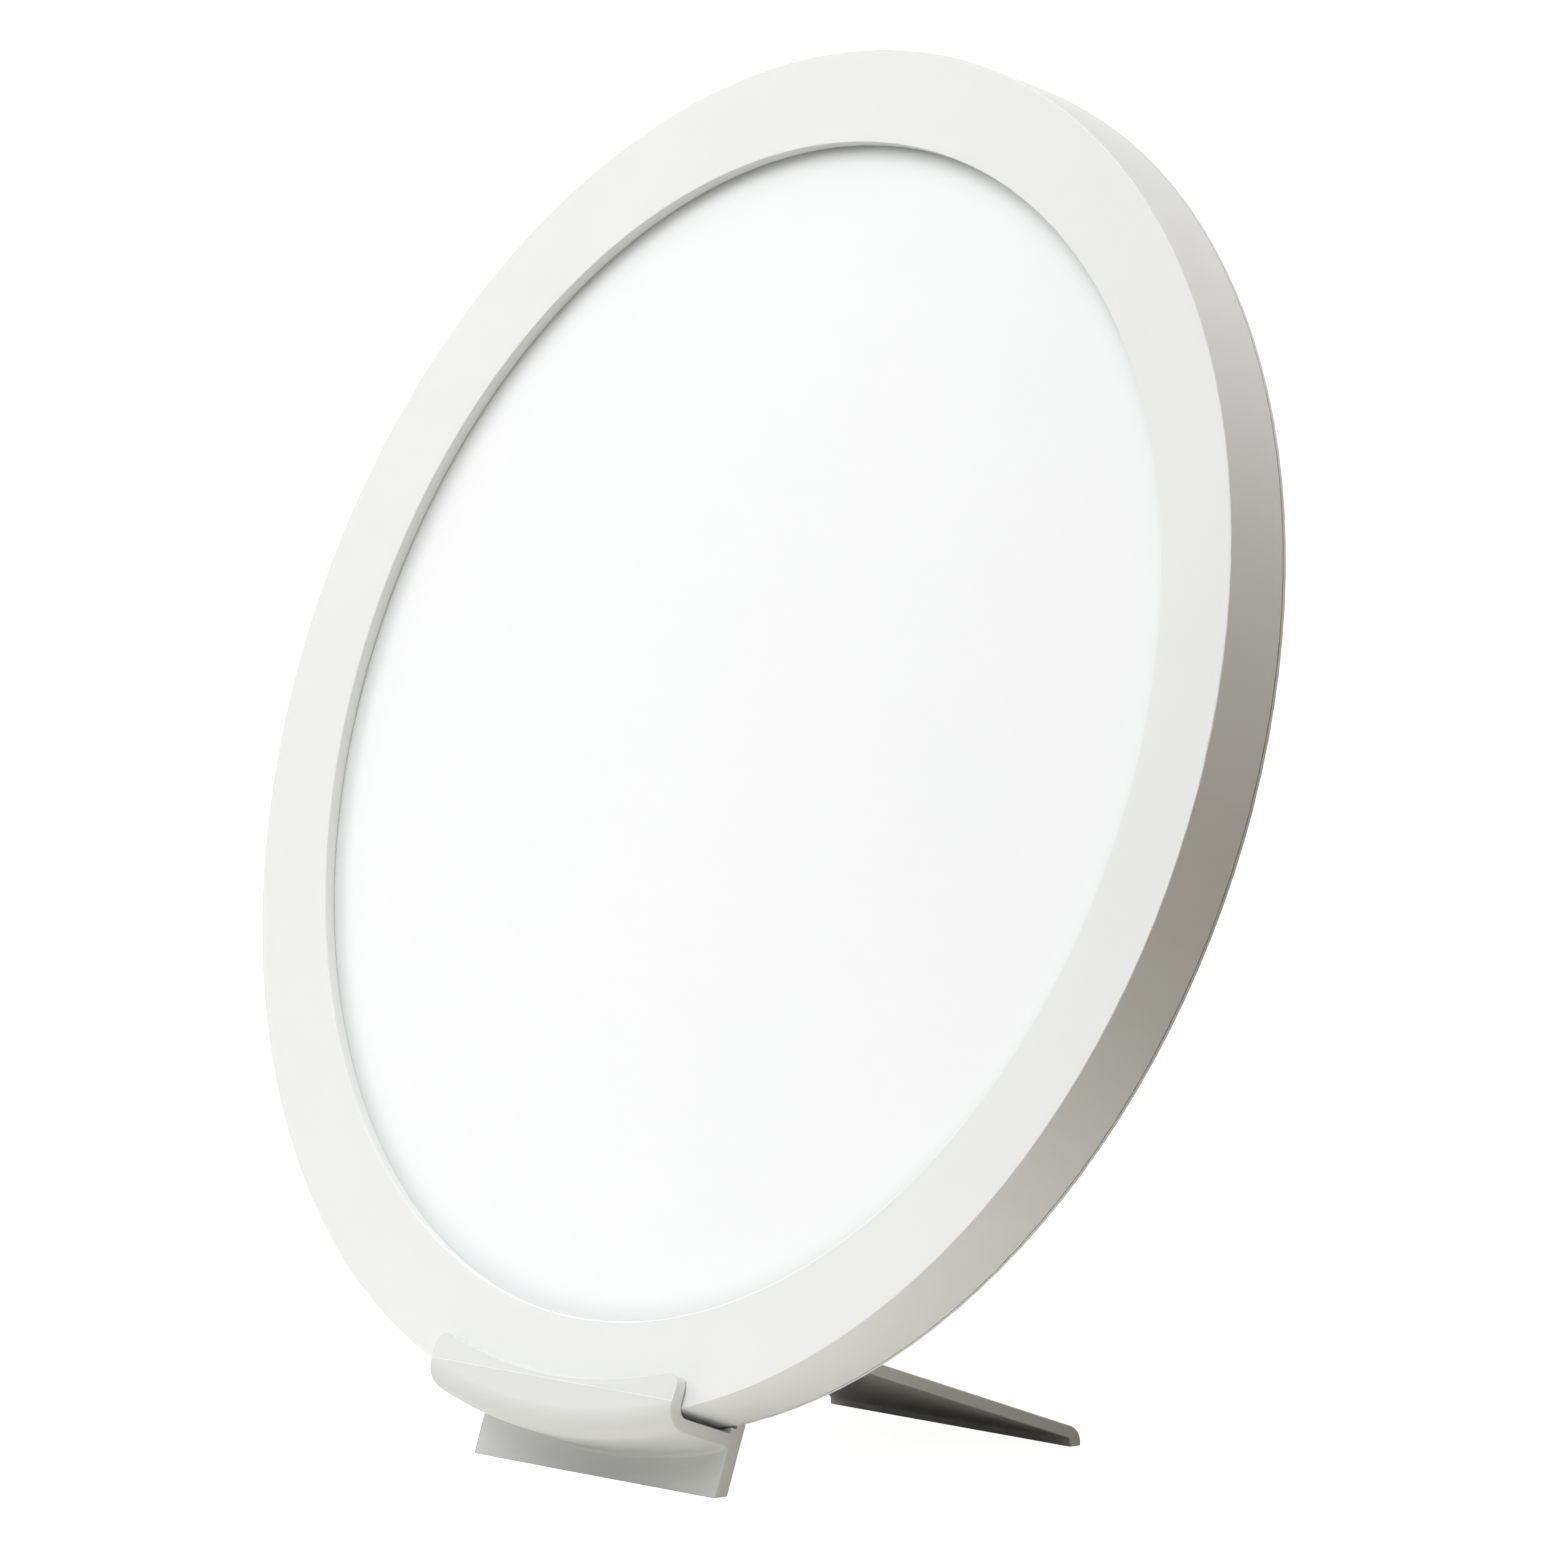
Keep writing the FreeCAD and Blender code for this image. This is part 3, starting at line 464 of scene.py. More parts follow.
def white_lacquered_flex():
    """Polyimide strip with white lacquer and tinned pads between the lamps."""
    material, tree, shader, coords = start_material("white_lacquered_flex")
    _, across, back, up = panel_coordinates(tree, coords)
    turn = sum_up(tree, "MULTIPLY", sum_up(tree, "ARCTAN2", up, across), lamp_count / (2 * math.pi))
    between = sum_up(tree, "PINGPONG", turn, 0.5)
    pad_along = sum_up(tree, "GREATER_THAN", between, 0.5 - pad_share / 2)
    off_middle = sum_up(tree, "ABSOLUTE", sum_up(tree, "SUBTRACT", back, strip_depth * MM))
    pad_across = sum_up(tree, "LESS_THAN", off_middle, pad_half_height * MM)
    pads = sum_up(tree, "MULTIPLY", pad_along, pad_across)
    fill(
        tree, shader,
        Base_Color=blend_colours(tree, pads, drift(tree, coords, 8, "f1f1ee", "ebebe7"), "c9cacb"),
        Roughness=spread(tree, pads, 0.38, 0.24, 0.0, 1.0),
        Metallic=pads,
        Normal=grain(tree, coords, 0.3, 0.004),
        IOR=1.55,
    )
    return material


finishes["strip_laminate"] = white_lacquered_flex()

# %% The boards' lacquer and tracks
track_pitch = 1.6            # mm
track_share = 0.45           # of the pitch is copper
block_size = 6.0             # mm of board between two centres that tracks run round


def green_lacquered_board():
    """Woven glass and epoxy, IOR about 1.55, under green lacquer that stands proud over the copper."""
    material, tree, shader, coords = start_material("green_lacquered_board")
    local, _, _, _ = panel_coordinates(tree, coords)
    blocks = add(tree, "ShaderNodeTexVoronoi", {"distance": "CHEBYCHEV"}, {
        "Vector": local, "Scale": 1 / (block_size * MM),
    }).outputs["Distance"]
    rings = sum_up(tree, "FRACT", sum_up(tree, "MULTIPLY", blocks, block_size / track_pitch))
    tracks = sum_up(tree, "GREATER_THAN", rings, 1 - track_share)
    fill(
        tree, shader,
        Base_Color=blend_colours(tree, tracks, "1c5a3c", "2c7a50"),
        Roughness=gloss(tree, coords, 2, 0.28, 0.36),
        Normal=relief(tree, tracks, 0.03),
        IOR=1.55,
    )
    return material


finishes["circuit_board"] = green_lacquered_board()
print("tracks repeat every, mm:", track_pitch)

# %% [markdown]
# ## The driver's parts
#
# Each small part on the board has the finish of its kind. A capacitor is an aluminium can in a shrunk
# sleeve that leaves its end bare, so the depth behind the panel's middle says which is which. The choke is
# sintered ferrite, dark and faintly pitted. The controller is moulded epoxy. The plugs are nylon, a warm
# white that light enters, the wires are in PVC, and the flat cable shows its tinned conductors through its
# clear skin.

# %% Capacitors
can_end = depth_of("driver_capacitors")[1]
bare_rim = 0.25              # mm of can that the sleeve leaves bare


def sleeved_can():
    """Dark PET sleeve with an orange-peel surface, and bare drawn aluminium at the end."""
    material, tree, shader, coords = start_material("sleeved_can")
    _, _, back, _ = panel_coordinates(tree, coords)
    bare = sum_up(tree, "GREATER_THAN", back, (can_end - bare_rim) * MM)
    fill(
        tree, shader,
        Base_Color=blend_colours(tree, bare, drift(tree, coords, 4, "232a3c", "1d2333"), "cfd0d2"),
        Roughness=spread(tree, bare, 0.32, 0.26, 0.0, 1.0),
        Metallic=bare,
        Normal=grain(tree, coords, 0.8, 0.01),
        IOR=1.57,
    )
    return material


finishes["capacitor_sleeve"] = sleeved_can()

# %% Plain coloured parts
def plain_part(name, light, dark, patch, least_rough, grain_size, depth, ior, glow_through=0.0):
    """A part of one colour with its own grain. Light enters the paler plastics a little way."""
    return even_finish(
        name, (patch, light, dark), (patch / 3, least_rough, least_rough + 0.1), (grain_size, depth),
        IOR=ior, Subsurface_Weight=glow_through, Subsurface_Radius=(1.0, 0.9, 0.7),
        Subsurface_Scale=1.5 * MM,
    )


finishes["ferrite"] = plain_part("sintered_ferrite", "47474a", "343437", 2, 0.5, 0.2, 0.02, 1.5)
finishes["chip_epoxy"] = plain_part("moulded_epoxy", "222224", "1a1a1c", 2, 0.55, 0.15, 0.006, 1.55)
finishes["connector_nylon"] = plain_part("moulded_nylon", "efeade", "e6e0d2", 5, 0.38, 0.3, 0.004, 1.53, 0.2)
finishes["socket_plastic"] = plain_part("glass_filled_nylon", "1e1e20", "161618", 4, 0.42, 0.25, 0.008, 1.53)
finishes["switch_plastic"] = plain_part("black_nylon", "2a2a2c", "202022", 3, 0.4, 0.25, 0.005, 1.53)
finishes["pad_rubber"] = plain_part("moulded_silicone", "34332f", "2b2a27", 6, 0.6, 0.3, 0.01, 1.41)

# %% Wires and flat cable
conductor_pitch = 0.5        # mm
skin_share = 0.44            # of that pitch is clear skin between two conductors
red_reach = 142.0            # mm from the panel's axis; a lead further out is black


def extruded_pvc():
    """PVC, IOR 1.54, smooth from the die with faint rings where it was drawn."""
    material, tree, shader, coords = start_material("extruded_pvc")
    _, across, _, up = panel_coordinates(tree, coords)
    outer = sum_up(tree, "GREATER_THAN", panel_distance(tree, across, up), red_reach * MM)
    fill(
        tree, shader,
        Base_Color=blend_colours(tree, outer, drift(tree, coords, 5, "a32821", "98231d"), "1f1f21"),
        Roughness=gloss(tree, coords, 1.5, 0.34, 0.44),
        Normal=grain(tree, coords, 0.4, 0.01),
        IOR=1.54,
    )
    return material


def laminated_flat_cable():
    """Clear polyester skin over flat tinned conductors, which run side by side along the cable."""
    material, tree, shader, coords = start_material("laminated_flat_cable")
    _, _, back, _ = panel_coordinates(tree, coords)
    lanes = sum_up(tree, "PINGPONG", sum_up(tree, "MULTIPLY", back, 1 / (conductor_pitch * MM)), 0.5)
    metal = sum_up(tree, "GREATER_THAN", lanes, skin_share / 2)
    fill(
        tree, shader,
        Base_Color=blend_colours(tree, metal, "e9e9e4", "b9babb"),
        Roughness=gloss(tree, coords, 3, 0.25, 0.33),
        Normal=relief(tree, lanes, 0.03),
        IOR=1.57,
    )
    return material


finishes["wire_insulation"] = extruded_pvc()
finishes["ribbon_insulation"] = laminated_flat_cable()
print("finishes:", len(finishes))

# %% [markdown]
# ## Pieces that repeat round the panel
#
# The lamps, the screws and the ribs of the stand's soft pads all stand at equal angles round the panel's
# axis. One Geometry Nodes tree makes them all. It puts points on an arc, copies a master piece to each point
# with its top turned outwards, makes the copies real and gives them a material. The tree's named inputs hold
# the count, the arc and the master piece.

# %% The start and the end of a tree
def start_tree(name, **kinds):
    """A tree with one Geometry output and an input for each name, such as First_Angle, of the kind given."""
    tree = bpy.data.node_groups.new(name, "GeometryNodeTree")
    tree.interface.new_socket("Geometry", in_out="OUTPUT", socket_type="NodeSocketGeometry")
    for label, kind in kinds.items():
        label = label.replace("_", " ")
        tree.interface.new_socket(label, in_out="INPUT", socket_type="NodeSocket" + kind)
    return tree, add(tree, "NodeGroupInput").outputs


def end_tree(tree, geometry, finish):
    """Makes copies real, gives them a material and sends them out."""
    real = add(tree, "GeometryNodeRealizeInstances", inputs={"Geometry": geometry})
    dressed = add(tree, "GeometryNodeSetMaterial", inputs={
        "Geometry": real.outputs["Geometry"], "Material": finish,
    })
    add(tree, "NodeGroupOutput", inputs={"Geometry": dressed.outputs["Geometry"]})
    return tree


# %% A tree that copies a piece round the axis
def arc_tree():
    """Copies of a piece on an arc in the panel's face. The master's Z axis ends up pointing outwards."""
    tree, sizes = start_tree(
        "pieces_on_an_arc", Count="Int", Radius="Float", First_Angle="Float", Step_Angle="Float",
        Piece="Object", Finish="Material",
    )
    place = add(tree, "GeometryNodeInputIndex").outputs["Index"]
    angle = sum_up(tree, "MULTIPLY_ADD", place, sizes["Step Angle"], sizes["First Angle"])
    spot = add(tree, "ShaderNodeCombineXYZ", inputs={
        "X": sum_up(tree, "MULTIPLY", sum_up(tree, "COSINE", angle), sizes["Radius"]),
        "Z": sum_up(tree, "MULTIPLY", sum_up(tree, "SINE", angle), sizes["Radius"]),
    }).outputs["Vector"]
    turn = add(tree, "ShaderNodeCombineXYZ", inputs={"Y": sum_up(tree, "SUBTRACT", math.pi / 2, angle)})
    points = add(tree, "GeometryNodePoints", inputs={"Count": sizes["Count"], "Position": spot})
    piece = add(tree, "GeometryNodeObjectInfo", inputs={"Object": sizes["Piece"]})
    copies = add(tree, "GeometryNodeInstanceOnPoints", inputs={
        "Points": points.outputs[0], "Instance": piece.outputs["Geometry"],
        "Rotation": turn.outputs["Vector"],
    })
    return end_tree(tree, copies.outputs["Instances"], sizes["Finish"])


# %% Run a tree and keep its mesh
def link(name, mesh):
    """A mesh as an object at the origin."""
    piece = bpy.data.objects.new(name, mesh)
    bpy.context.scene.collection.objects.link(piece)
    return piece


def grow(name, tree, place, **values):
    """Runs a tree with the given inputs and keeps its result as a plain mesh, with its place in the mesh."""
    seed = link(name + "_seed", bpy.data.meshes.new(name + "_seed"))
    modifier = seed.modifiers.new(name, "NODES")
    modifier.node_group = tree
    for socket in tree.interface.items_tree:
        if socket.in_out == "INPUT":
            modifier[socket.identifier] = values[socket.name.replace(" ", "_")]
    mesh = bpy.data.meshes.new_from_object(seed.evaluated_get(bpy.context.evaluated_depsgraph_get()))
    bpy.data.objects.remove(seed)
    mesh.transform(place)
    mesh.name = name
    return link(name, mesh)


pieces_on_an_arc = arc_tree()
sockets = pieces_on_an_arc.interface.items_tree
print("inputs:", [socket.name for socket in sockets if socket.in_out == "INPUT"])

# %% [markdown]
# ## Lamp packages
#
# Each lamp is a white nylon housing, 3.5 by 2.8 mm, with a shallow well full of yellow silicone. Plain
# blocks stand for them in the frame. The housing is a box whose inward face is inset and pushed in, and the
# silicone is a low pad that fills the well, so that the yellow is a shape of its own and not paint.

# %% Masters for the housing and its silicone
lamp_length = 3.5            # mm along the strip
lamp_width = 2.8             # mm across the strip
well_margin = 0.45           # mm of housing round the well
well_depth = 0.3             # mm
well_fill = 0.8              # of the well's depth is silicone
dome_margin = 0.3            # mm of its edge that is lower than its middle
dome_height = 0.04           # mm
lamp_inner, lamp_outer = radius_of("led_chips")
base_radius = math.sqrt(lamp_outer ** 2 - (lamp_length / 2) ** 2)
lamp_height = base_radius - math.sqrt(lamp_inner ** 2 - (lamp_length / 2) ** 2)
lamp_depth = sum(depth_of("led_chips")) / 2


def box_mesh(name, size, middle):
    """A box with outward faces, in millimetres, as a mesh in metres."""
    shape = bmesh.new()
    bmesh.ops.create_cube(shape, size=1.0)
    bmesh.ops.scale(shape, vec=Vector(size) * MM, verts=shape.verts)
    bmesh.ops.translate(shape, vec=Vector(middle) * MM, verts=shape.verts)
    return shape, bpy.data.meshes.new(name)


def housing_master():
    """A box whose inward face is a shallow well."""
    size = (lamp_length, lamp_width, lamp_height)
    shape, mesh = box_mesh("lamp_housing", size, (0, lamp_depth, -lamp_height / 2))
    front = min(shape.faces, key=lambda face: face.calc_center_median().z)
    bmesh.ops.inset_region(shape, faces=[front], thickness=well_margin * MM)
    bmesh.ops.translate(shape, vec=(0, 0, well_depth * MM), verts=front.verts)
    bmesh.ops.recalc_face_normals(shape, faces=shape.faces)
    shape.to_mesh(mesh)
    return link("lamp_housing", mesh)


def silicone_master():
    """A pad on the well's floor, with its middle raised a little."""
    height = well_depth * well_fill
    size = (lamp_length - 2 * well_margin, lamp_width - 2 * well_margin, height)
    middle = -lamp_height + well_depth - height / 2
    shape, mesh = box_mesh("lamp_silicone", size, (0, lamp_depth, middle))
    front = min(shape.faces, key=lambda face: face.calc_center_median().z)
    bmesh.ops.inset_region(shape, faces=[front], thickness=dome_margin * MM, depth=dome_height * MM)
    shape.to_mesh(mesh)
    return link("lamp_silicone", mesh)


# %% Finish and place the lamps
finishes["lamp_housing"] = plain_part("white_nylon", "f4f3ee", "eeede7", 4, 0.36, 0.2, 0.003, 1.53, 0.15)
# Clear silicone, IOR 1.41, full of yellow powder. It set against air, so it is glossy.
finishes["led_phosphor"] = even_finish(
    "phosphor_silicone", (1.5, "f2d36a", "e9c654"), (1, 0.18, 0.26), (0.5, 0.006),
    Subsurface_Weight=0.2, Subsurface_Radius=(1.0, 0.8, 0.3), Subsurface_Scale=0.5 * MM, IOR=1.41,
)
for name, master, finish in (("lamp_housings", housing_master(), "lamp_housing"),
                             ("lamp_silicones", silicone_master(), "led_phosphor")):
    piece = grow(
        name, pieces_on_an_arc, panel_place,
        Count=lamp_count, Radius=base_radius * MM, First_Angle=-math.pi / 2,
        Step_Angle=2 * math.pi / lamp_count, Piece=master, Finish=finishes[finish],
    )
    bpy.data.objects.remove(master)
    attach(piece, "panel")
    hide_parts("led_chips")
    print(name, "faces:", len(piece.data.polygons))

# %% [markdown]
# ## Cover screws
#
# Eight self-tapping screws hold the back on. A screw is a turned shape, so its master is a profile spun
# round its axis: a countersunk head with a small flat at its rim, a neck, and ridges for the thread. The
# cross in the head is cut by a Boolean with a tapered cross, as a punch forms it in the real screw.

# %% Master for the screw
screw_inner, screw_outer = radius_of("cover_screws")
screw_tip, screw_top = depth_of("cover_screws")
screw_circle = (screw_inner + screw_outer) / 2
head_radius = (screw_outer - screw_inner) / 2
head_height = 1.6            # mm
head_bevel = (0.12, 0.1)     # mm, inwards and down at the head's edge
head_rim = 0.22              # mm from the head's face to where its cone begins
neck = 0.6                   # mm of plain shank under the head
shank_radius = 1.45          # mm, over the thread
thread_depth = 0.3           # mm
thread_pitch = 0.9           # mm
thread_steps = (0.35, 0.6)   # mm down from a ridge's start to its rise and to its crest
thread_end = 1.6             # mm from the tip
tip_height = 0.5             # mm
tip_share = 0.75             # of the root's radius, where the tip begins
cross_length = 3.2           # mm
cross_width = 0.7            # mm
cross_depth = 1.0            # mm
cross_tip = 0.55             # the cross's size at its bottom, as a share of its size at the top
punch_over = 0.2             # mm that the punch stands out of the head
screw_sides = 40


def screw_profile():
    """Radius and depth from the head's middle to the tip, in millimetres."""
    inwards, down = head_bevel
    head = [(0, screw_top), (head_radius - inwards, screw_top), (head_radius, screw_top - down),
            (head_radius, screw_top - head_rim), (shank_radius, screw_top - head_height)]
    root = shank_radius - thread_depth
    rise, crest = thread_steps
    thread = []
    depth = screw_top - head_height - neck
    while depth > screw_tip + thread_end:
        thread += [(root, depth), (root, depth - rise), (shank_radius, depth - crest)]
        depth -= thread_pitch
    return head + thread + [(root, depth), (root * tip_share, screw_tip + tip_height), (0, screw_tip)]


def closed_mesh(name, points, faces):
    """A mesh whose faces are wound to face outwards."""
    mesh = bpy.data.meshes.new(name)
    mesh.from_pydata(points, [], faces)
    shape = bmesh.new()
    shape.from_mesh(mesh)
    bmesh.ops.recalc_face_normals(shape, faces=shape.faces)
    shape.to_mesh(mesh)
    return mesh


def spun_mesh(name, profile, sides):
    """A closed shape turned round the Y axis from a profile in millimetres."""
    points, faces = [], []
    rings = []
    for radius, depth in profile:
        if radius == 0:
            rings.append([len(points)] * sides)
            points.append((0, depth * MM, 0))
        else:
            rings.append([len(points) + side for side in range(sides)])
            for side in range(sides):
                angle = 2 * math.pi * side / sides
                points.append((radius * MM * math.sin(angle), depth * MM, radius * MM * math.cos(angle)))
    for upper, lower in zip(rings, rings[1:]):
        for side in range(sides):
            after = (side + 1) % sides
            corners = [upper[side], lower[side], lower[after], upper[after]]
            faces.append(list(dict.fromkeys(corners)))
    return closed_mesh(name, points, faces)


def cross_punch():
    """A cross that narrows towards the tip."""
    half_length, half_width = cross_length / 2, cross_width / 2
    corners = ((half_width, half_width), (half_width, half_length), (-half_width, half_length))
    outline = []
    for quarter in range(4):
        turn = Matrix.Rotation(quarter * math.pi / 2, 2)
        outline += [turn @ Vector(corner) for corner in corners]
    layers = ((screw_top + punch_over, 1.0), (screw_top, 1.0), (screw_top - cross_depth, cross_tip))
    points = [
        (corner.x * size * MM, depth * MM, corner.y * size * MM)
        for depth, size in layers for corner in outline
    ]
    count = len(outline)
    faces = [list(range(count)), list(range(3 * count - 1, 2 * count - 1, -1))]
    for layer in (0, 1):
        for side in range(count):
            after = (side + 1) % count
            low, high = layer * count, (layer + 1) * count
            faces.append([low + side, high + side, high + after, low + after])
    return closed_mesh("cross_punch", points, faces)


# %% Punch the cross and place the screws
def screw_master():
    """The turned screw with the punch taken out of it."""
    screw = link("screw", spun_mesh("screw", screw_profile(), screw_sides))
    punch = link("punch", cross_punch())
    cut = screw.modifiers.new("cross", "BOOLEAN")
    cut.operation = "DIFFERENCE"
    cut.solver = "EXACT"
    cut.object = punch
    mesh = bpy.data.meshes.new_from_object(screw.evaluated_get(bpy.context.evaluated_depsgraph_get()))
    bpy.data.objects.remove(screw)
    bpy.data.objects.remove(punch)
    return link("screw", mesh)


def soften(piece, degrees):
    """Smooth shading, with edges sharper than an angle kept crisp."""
    piece.data.shade_smooth()
    piece.data.set_sharp_from_angle(angle=math.radians(degrees))


screw_count = 8
master = screw_master()
cover_screws = grow(
    "cover_screws_cross", pieces_on_an_arc, panel_place, Count=screw_count, Radius=screw_circle * MM,
    First_Angle=math.pi / screw_count, Step_Angle=2 * math.pi / screw_count, Piece=master,
    Finish=finishes["screw_steel"],
)
bpy.data.objects.remove(master)
soften(cover_screws, 30)
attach(cover_screws, "panel")
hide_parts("cover_screws")
print("screws:", screw_count, "on a circle of radius, mm:", round(screw_circle, 2))
print("their faces:", len(cover_screws.data.polygons))

# %% [markdown]
# ## Soft pads in the trough
#
# The rim rests on two moulded silicone strips. Ribs across each strip grip the rim and let it be turned by
# hand. A strip is a short arc, a bar built row by row along the rim's curve, and the arc tree adds its ribs.

# %% Pads
pad_top, pad_bottom = radius_of("cradle_pads")
pad_front, pad_back = depth_of("cradle_pads")
pad_start = 4.5              # degrees from the panel's lowest point
pad_end = 11.5
rib_height = 0.55            # mm
rib_width = 0.7              # mm
rib_sink = 0.1               # mm into the base
rib_inset = 0.2              # mm from each end of a rib to the base's edge
rib_taper = (0.45, 0.96, 1)  # a rib's crest as a share of its root
ribs_per_pad = 13
pad_segments = 24


def pad_base(side):
    """The base under the ribs, on the left (-1) or the right (1)."""
    section = ((pad_top + rib_height, pad_front), (pad_top + rib_height, pad_back),
               (pad_bottom, pad_back), (pad_bottom, pad_front))
    points, faces = [], []
    for step in range(pad_segments + 1):
        angle = math.radians(-90 + side * (pad_start + (pad_end - pad_start) * step / pad_segments))
        for radius, depth in section:
            points.append((radius * MM * math.cos(angle), depth * MM, radius * MM * math.sin(angle)))
    last = 4 * pad_segments
    for row in range(0, last, 4):
        for corner in range(4):
            following = (corner + 1) % 4
            faces.append((row + corner, row + following, row + 4 + following, row + 4 + corner))
    faces += [(0, 1, 2, 3), (last + 3, last + 2, last + 1, last)]
    mesh = closed_mesh("pad_base", points, faces)
    mesh.transform(panel_place)
    mesh.materials.append(finishes["pad_rubber"])
    return mesh


def rib_master():
    """A rib that tapers inwards, with its root in the base."""
    length = pad_back - pad_front - 2 * rib_inset
    height = rib_height + rib_sink
    middle = (pad_front + pad_back) / 2
    shape, mesh = box_mesh("rib", (rib_width, length, height), (0, middle, height / 2))
    crest = [vert for vert in shape.verts if vert.co.z < rib_height * MM / 2]
    about_middle = Matrix.Translation((0, -middle * MM, 0))
    bmesh.ops.scale(shape, vec=rib_taper, verts=crest, space=about_middle)
    shape.to_mesh(mesh)
    return link("rib", mesh)


# %% Join each strip with its ribs
def join(name, meshes):
    """Several meshes as one."""
    shape = bmesh.new()
    for mesh in meshes:
        shape.from_mesh(mesh)
    joined = bpy.data.meshes.new(name)
    shape.to_mesh(joined)
    joined.materials.append(meshes[0].materials[0])
    return link(name, joined)


master = rib_master()
rib_step = math.radians(pad_end - pad_start) / (ribs_per_pad + 1)
parts = []
for side in (-1, 1):
    first = -math.pi / 2 + side * (math.radians(pad_start) + rib_step)
    ribs = grow(
        "ribs", pieces_on_an_arc, panel_place,
        Count=ribs_per_pad, Radius=pad_top * MM, First_Angle=first,
        Step_Angle=side * rib_step, Piece=master, Finish=finishes["pad_rubber"],
    )
    parts += [pad_base(side), ribs.data]
    bpy.data.objects.remove(ribs)
bpy.data.objects.remove(master)
ribbed_pads = join("ribbed_pads", parts)
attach(ribbed_pads, "stand")
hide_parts("cradle_pads")
print("ribs:", 2 * ribs_per_pad, "spaced, mm:", round(rib_step * pad_top, 2))

# %% [markdown]
# ## The choke's winding
#
# Enamelled copper wire is wound round the ferrite's waist. A helix is a rule, so Geometry Nodes draw it: a
# spiral curve, swept with a round section. It sits between the two flanges and stands clear of their edge.

# %% Winding
wire_radius = 0.2            # mm
waist_radius = 2.6           # mm
flange_height = 0.8          # mm
winding_turns = 5
wire_clearance = 0.05        # mm between the wire and the waist
wire_sides = 8
turn_steps = 24              # straight pieces to a turn
choke_front, choke_back = depth_of("driver_inductor")
choke_low, choke_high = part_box("driver_inductor")
choke_middle = (choke_low + choke_high) / 2


def winding_tree():
    """A round wire on a helix about the Z axis, centred on the origin."""
    tree, sizes = start_tree(
        "winding", Turns="Float", Radius="Float", Height="Float", Wire_Radius="Float", Finish="Material",
    )
    helix = add(tree, "GeometryNodeCurveSpiral", inputs={
        "Resolution": turn_steps, "Rotations": sizes["Turns"], "Start Radius": sizes["Radius"],
        "End Radius": sizes["Radius"], "Height": sizes["Height"],
    })
    section = add(tree, "GeometryNodeCurvePrimitiveCircle", inputs={
        "Resolution": wire_sides, "Radius": sizes["Wire Radius"],
    })
    wire = add(tree, "GeometryNodeCurveToMesh", inputs={
        "Curve": helix.outputs["Curve"], "Profile Curve": section.outputs["Curve"], "Fill Caps": True,
    })
    return end_tree(tree, wire.outputs["Mesh"], sizes["Finish"])


winding_height = choke_back - choke_front - 2 * flange_height - 2 * wire_radius
winding_axes = Matrix((panel_right, -panel_up, panel_back)).transposed()
winding_place = Matrix.Translation(choke_middle) @ winding_axes.to_4x4()
winding_start = Matrix.Translation((0, 0, -winding_height / 2 * MM))
# Copper under clear enamel, whose tint is deeper and redder than bare copper.
enamelled_copper = even_finish(
    "enamelled_copper", (1, "b5643a", "9f5330"), (1, 0.2, 0.3), (0.3, 0.004), Metallic=1.0, Coat_Weight=0.6,
)
winding = grow(
    "choke_winding", winding_tree(), winding_place @ winding_start,
    Turns=float(winding_turns), Radius=(waist_radius + wire_radius + wire_clearance) * MM,
    Height=winding_height * MM, Wire_Radius=wire_radius * MM, Finish=enamelled_copper,
)
soften(winding, 60)
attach(winding, "panel")
print("winding:", winding_turns, "turns, faces:", len(winding.data.polygons))

# %% [markdown]
# ## Dress the frame's own pieces
#
# The other pieces keep their CAD shape, which is already the finished shape. Each has one material slot,
# named in the frame for what it is made of, and gets the finish of that name. A finish goes on the object
# and not on its mesh, because the frame's meshes stay as they are.

# %% Dress them
for node in frame["nodes"].values():
    for entry in node.material_slots:
        finish = finishes[entry.material.name.split(".")[0]]
        entry.link = "OBJECT"
        entry.material = finish
print("dressed:", len(frame["nodes"]))

# %% [markdown]
# ## Floor and room
#
# The ground looks white. A sheet of matt white paper lies in front of the lamp and bounces light up under
# it. Behind the foot a dull, warm table takes over, so the leg's underside stays dark. To the camera both
# glow towards white, because a paper that is only lit never reads as white all the way to the horizon. The
# glow is held back a little near the lamp, so the paper keeps its shadow. Reflections see the glow only
# from further out. Nothing of it lights the lamp.

# %% Who is looking
def seen_by(tree):
    """Two flags: the ray comes from the camera, or it is a reflection or passes through something."""
    path = add(tree, "ShaderNodeLightPath").outputs
    return path["Is Camera Ray"], sum_up(tree, "MAXIMUM", path["Is Glossy Ray"], path["Is Transmission Ray"])


# %% Floor
floor_half = 6.0             # metres
paper_middle = (0.0, -0.14, 0.0)   # in front of the lamp
paper_radius = 0.24          # metres of paper round its middle
table_start = 0.5            # and where it has given way to the table
paper_back = 0.035           # the paper ends here behind the lamp's foot
table_back = 0.13            # and the table has taken over here
shadow_glow = 0.91           # what the camera sees where no lamp reaches
mirrored_glow = 0.02         # what a reflection sees there
glow_start = 0.6             # metres from the lamp where the glow begins to rise
glow_end = 1.8               # and where it is full white
mirror_start = 1.2           # metres, the same two for reflections
mirror_end = 4.0


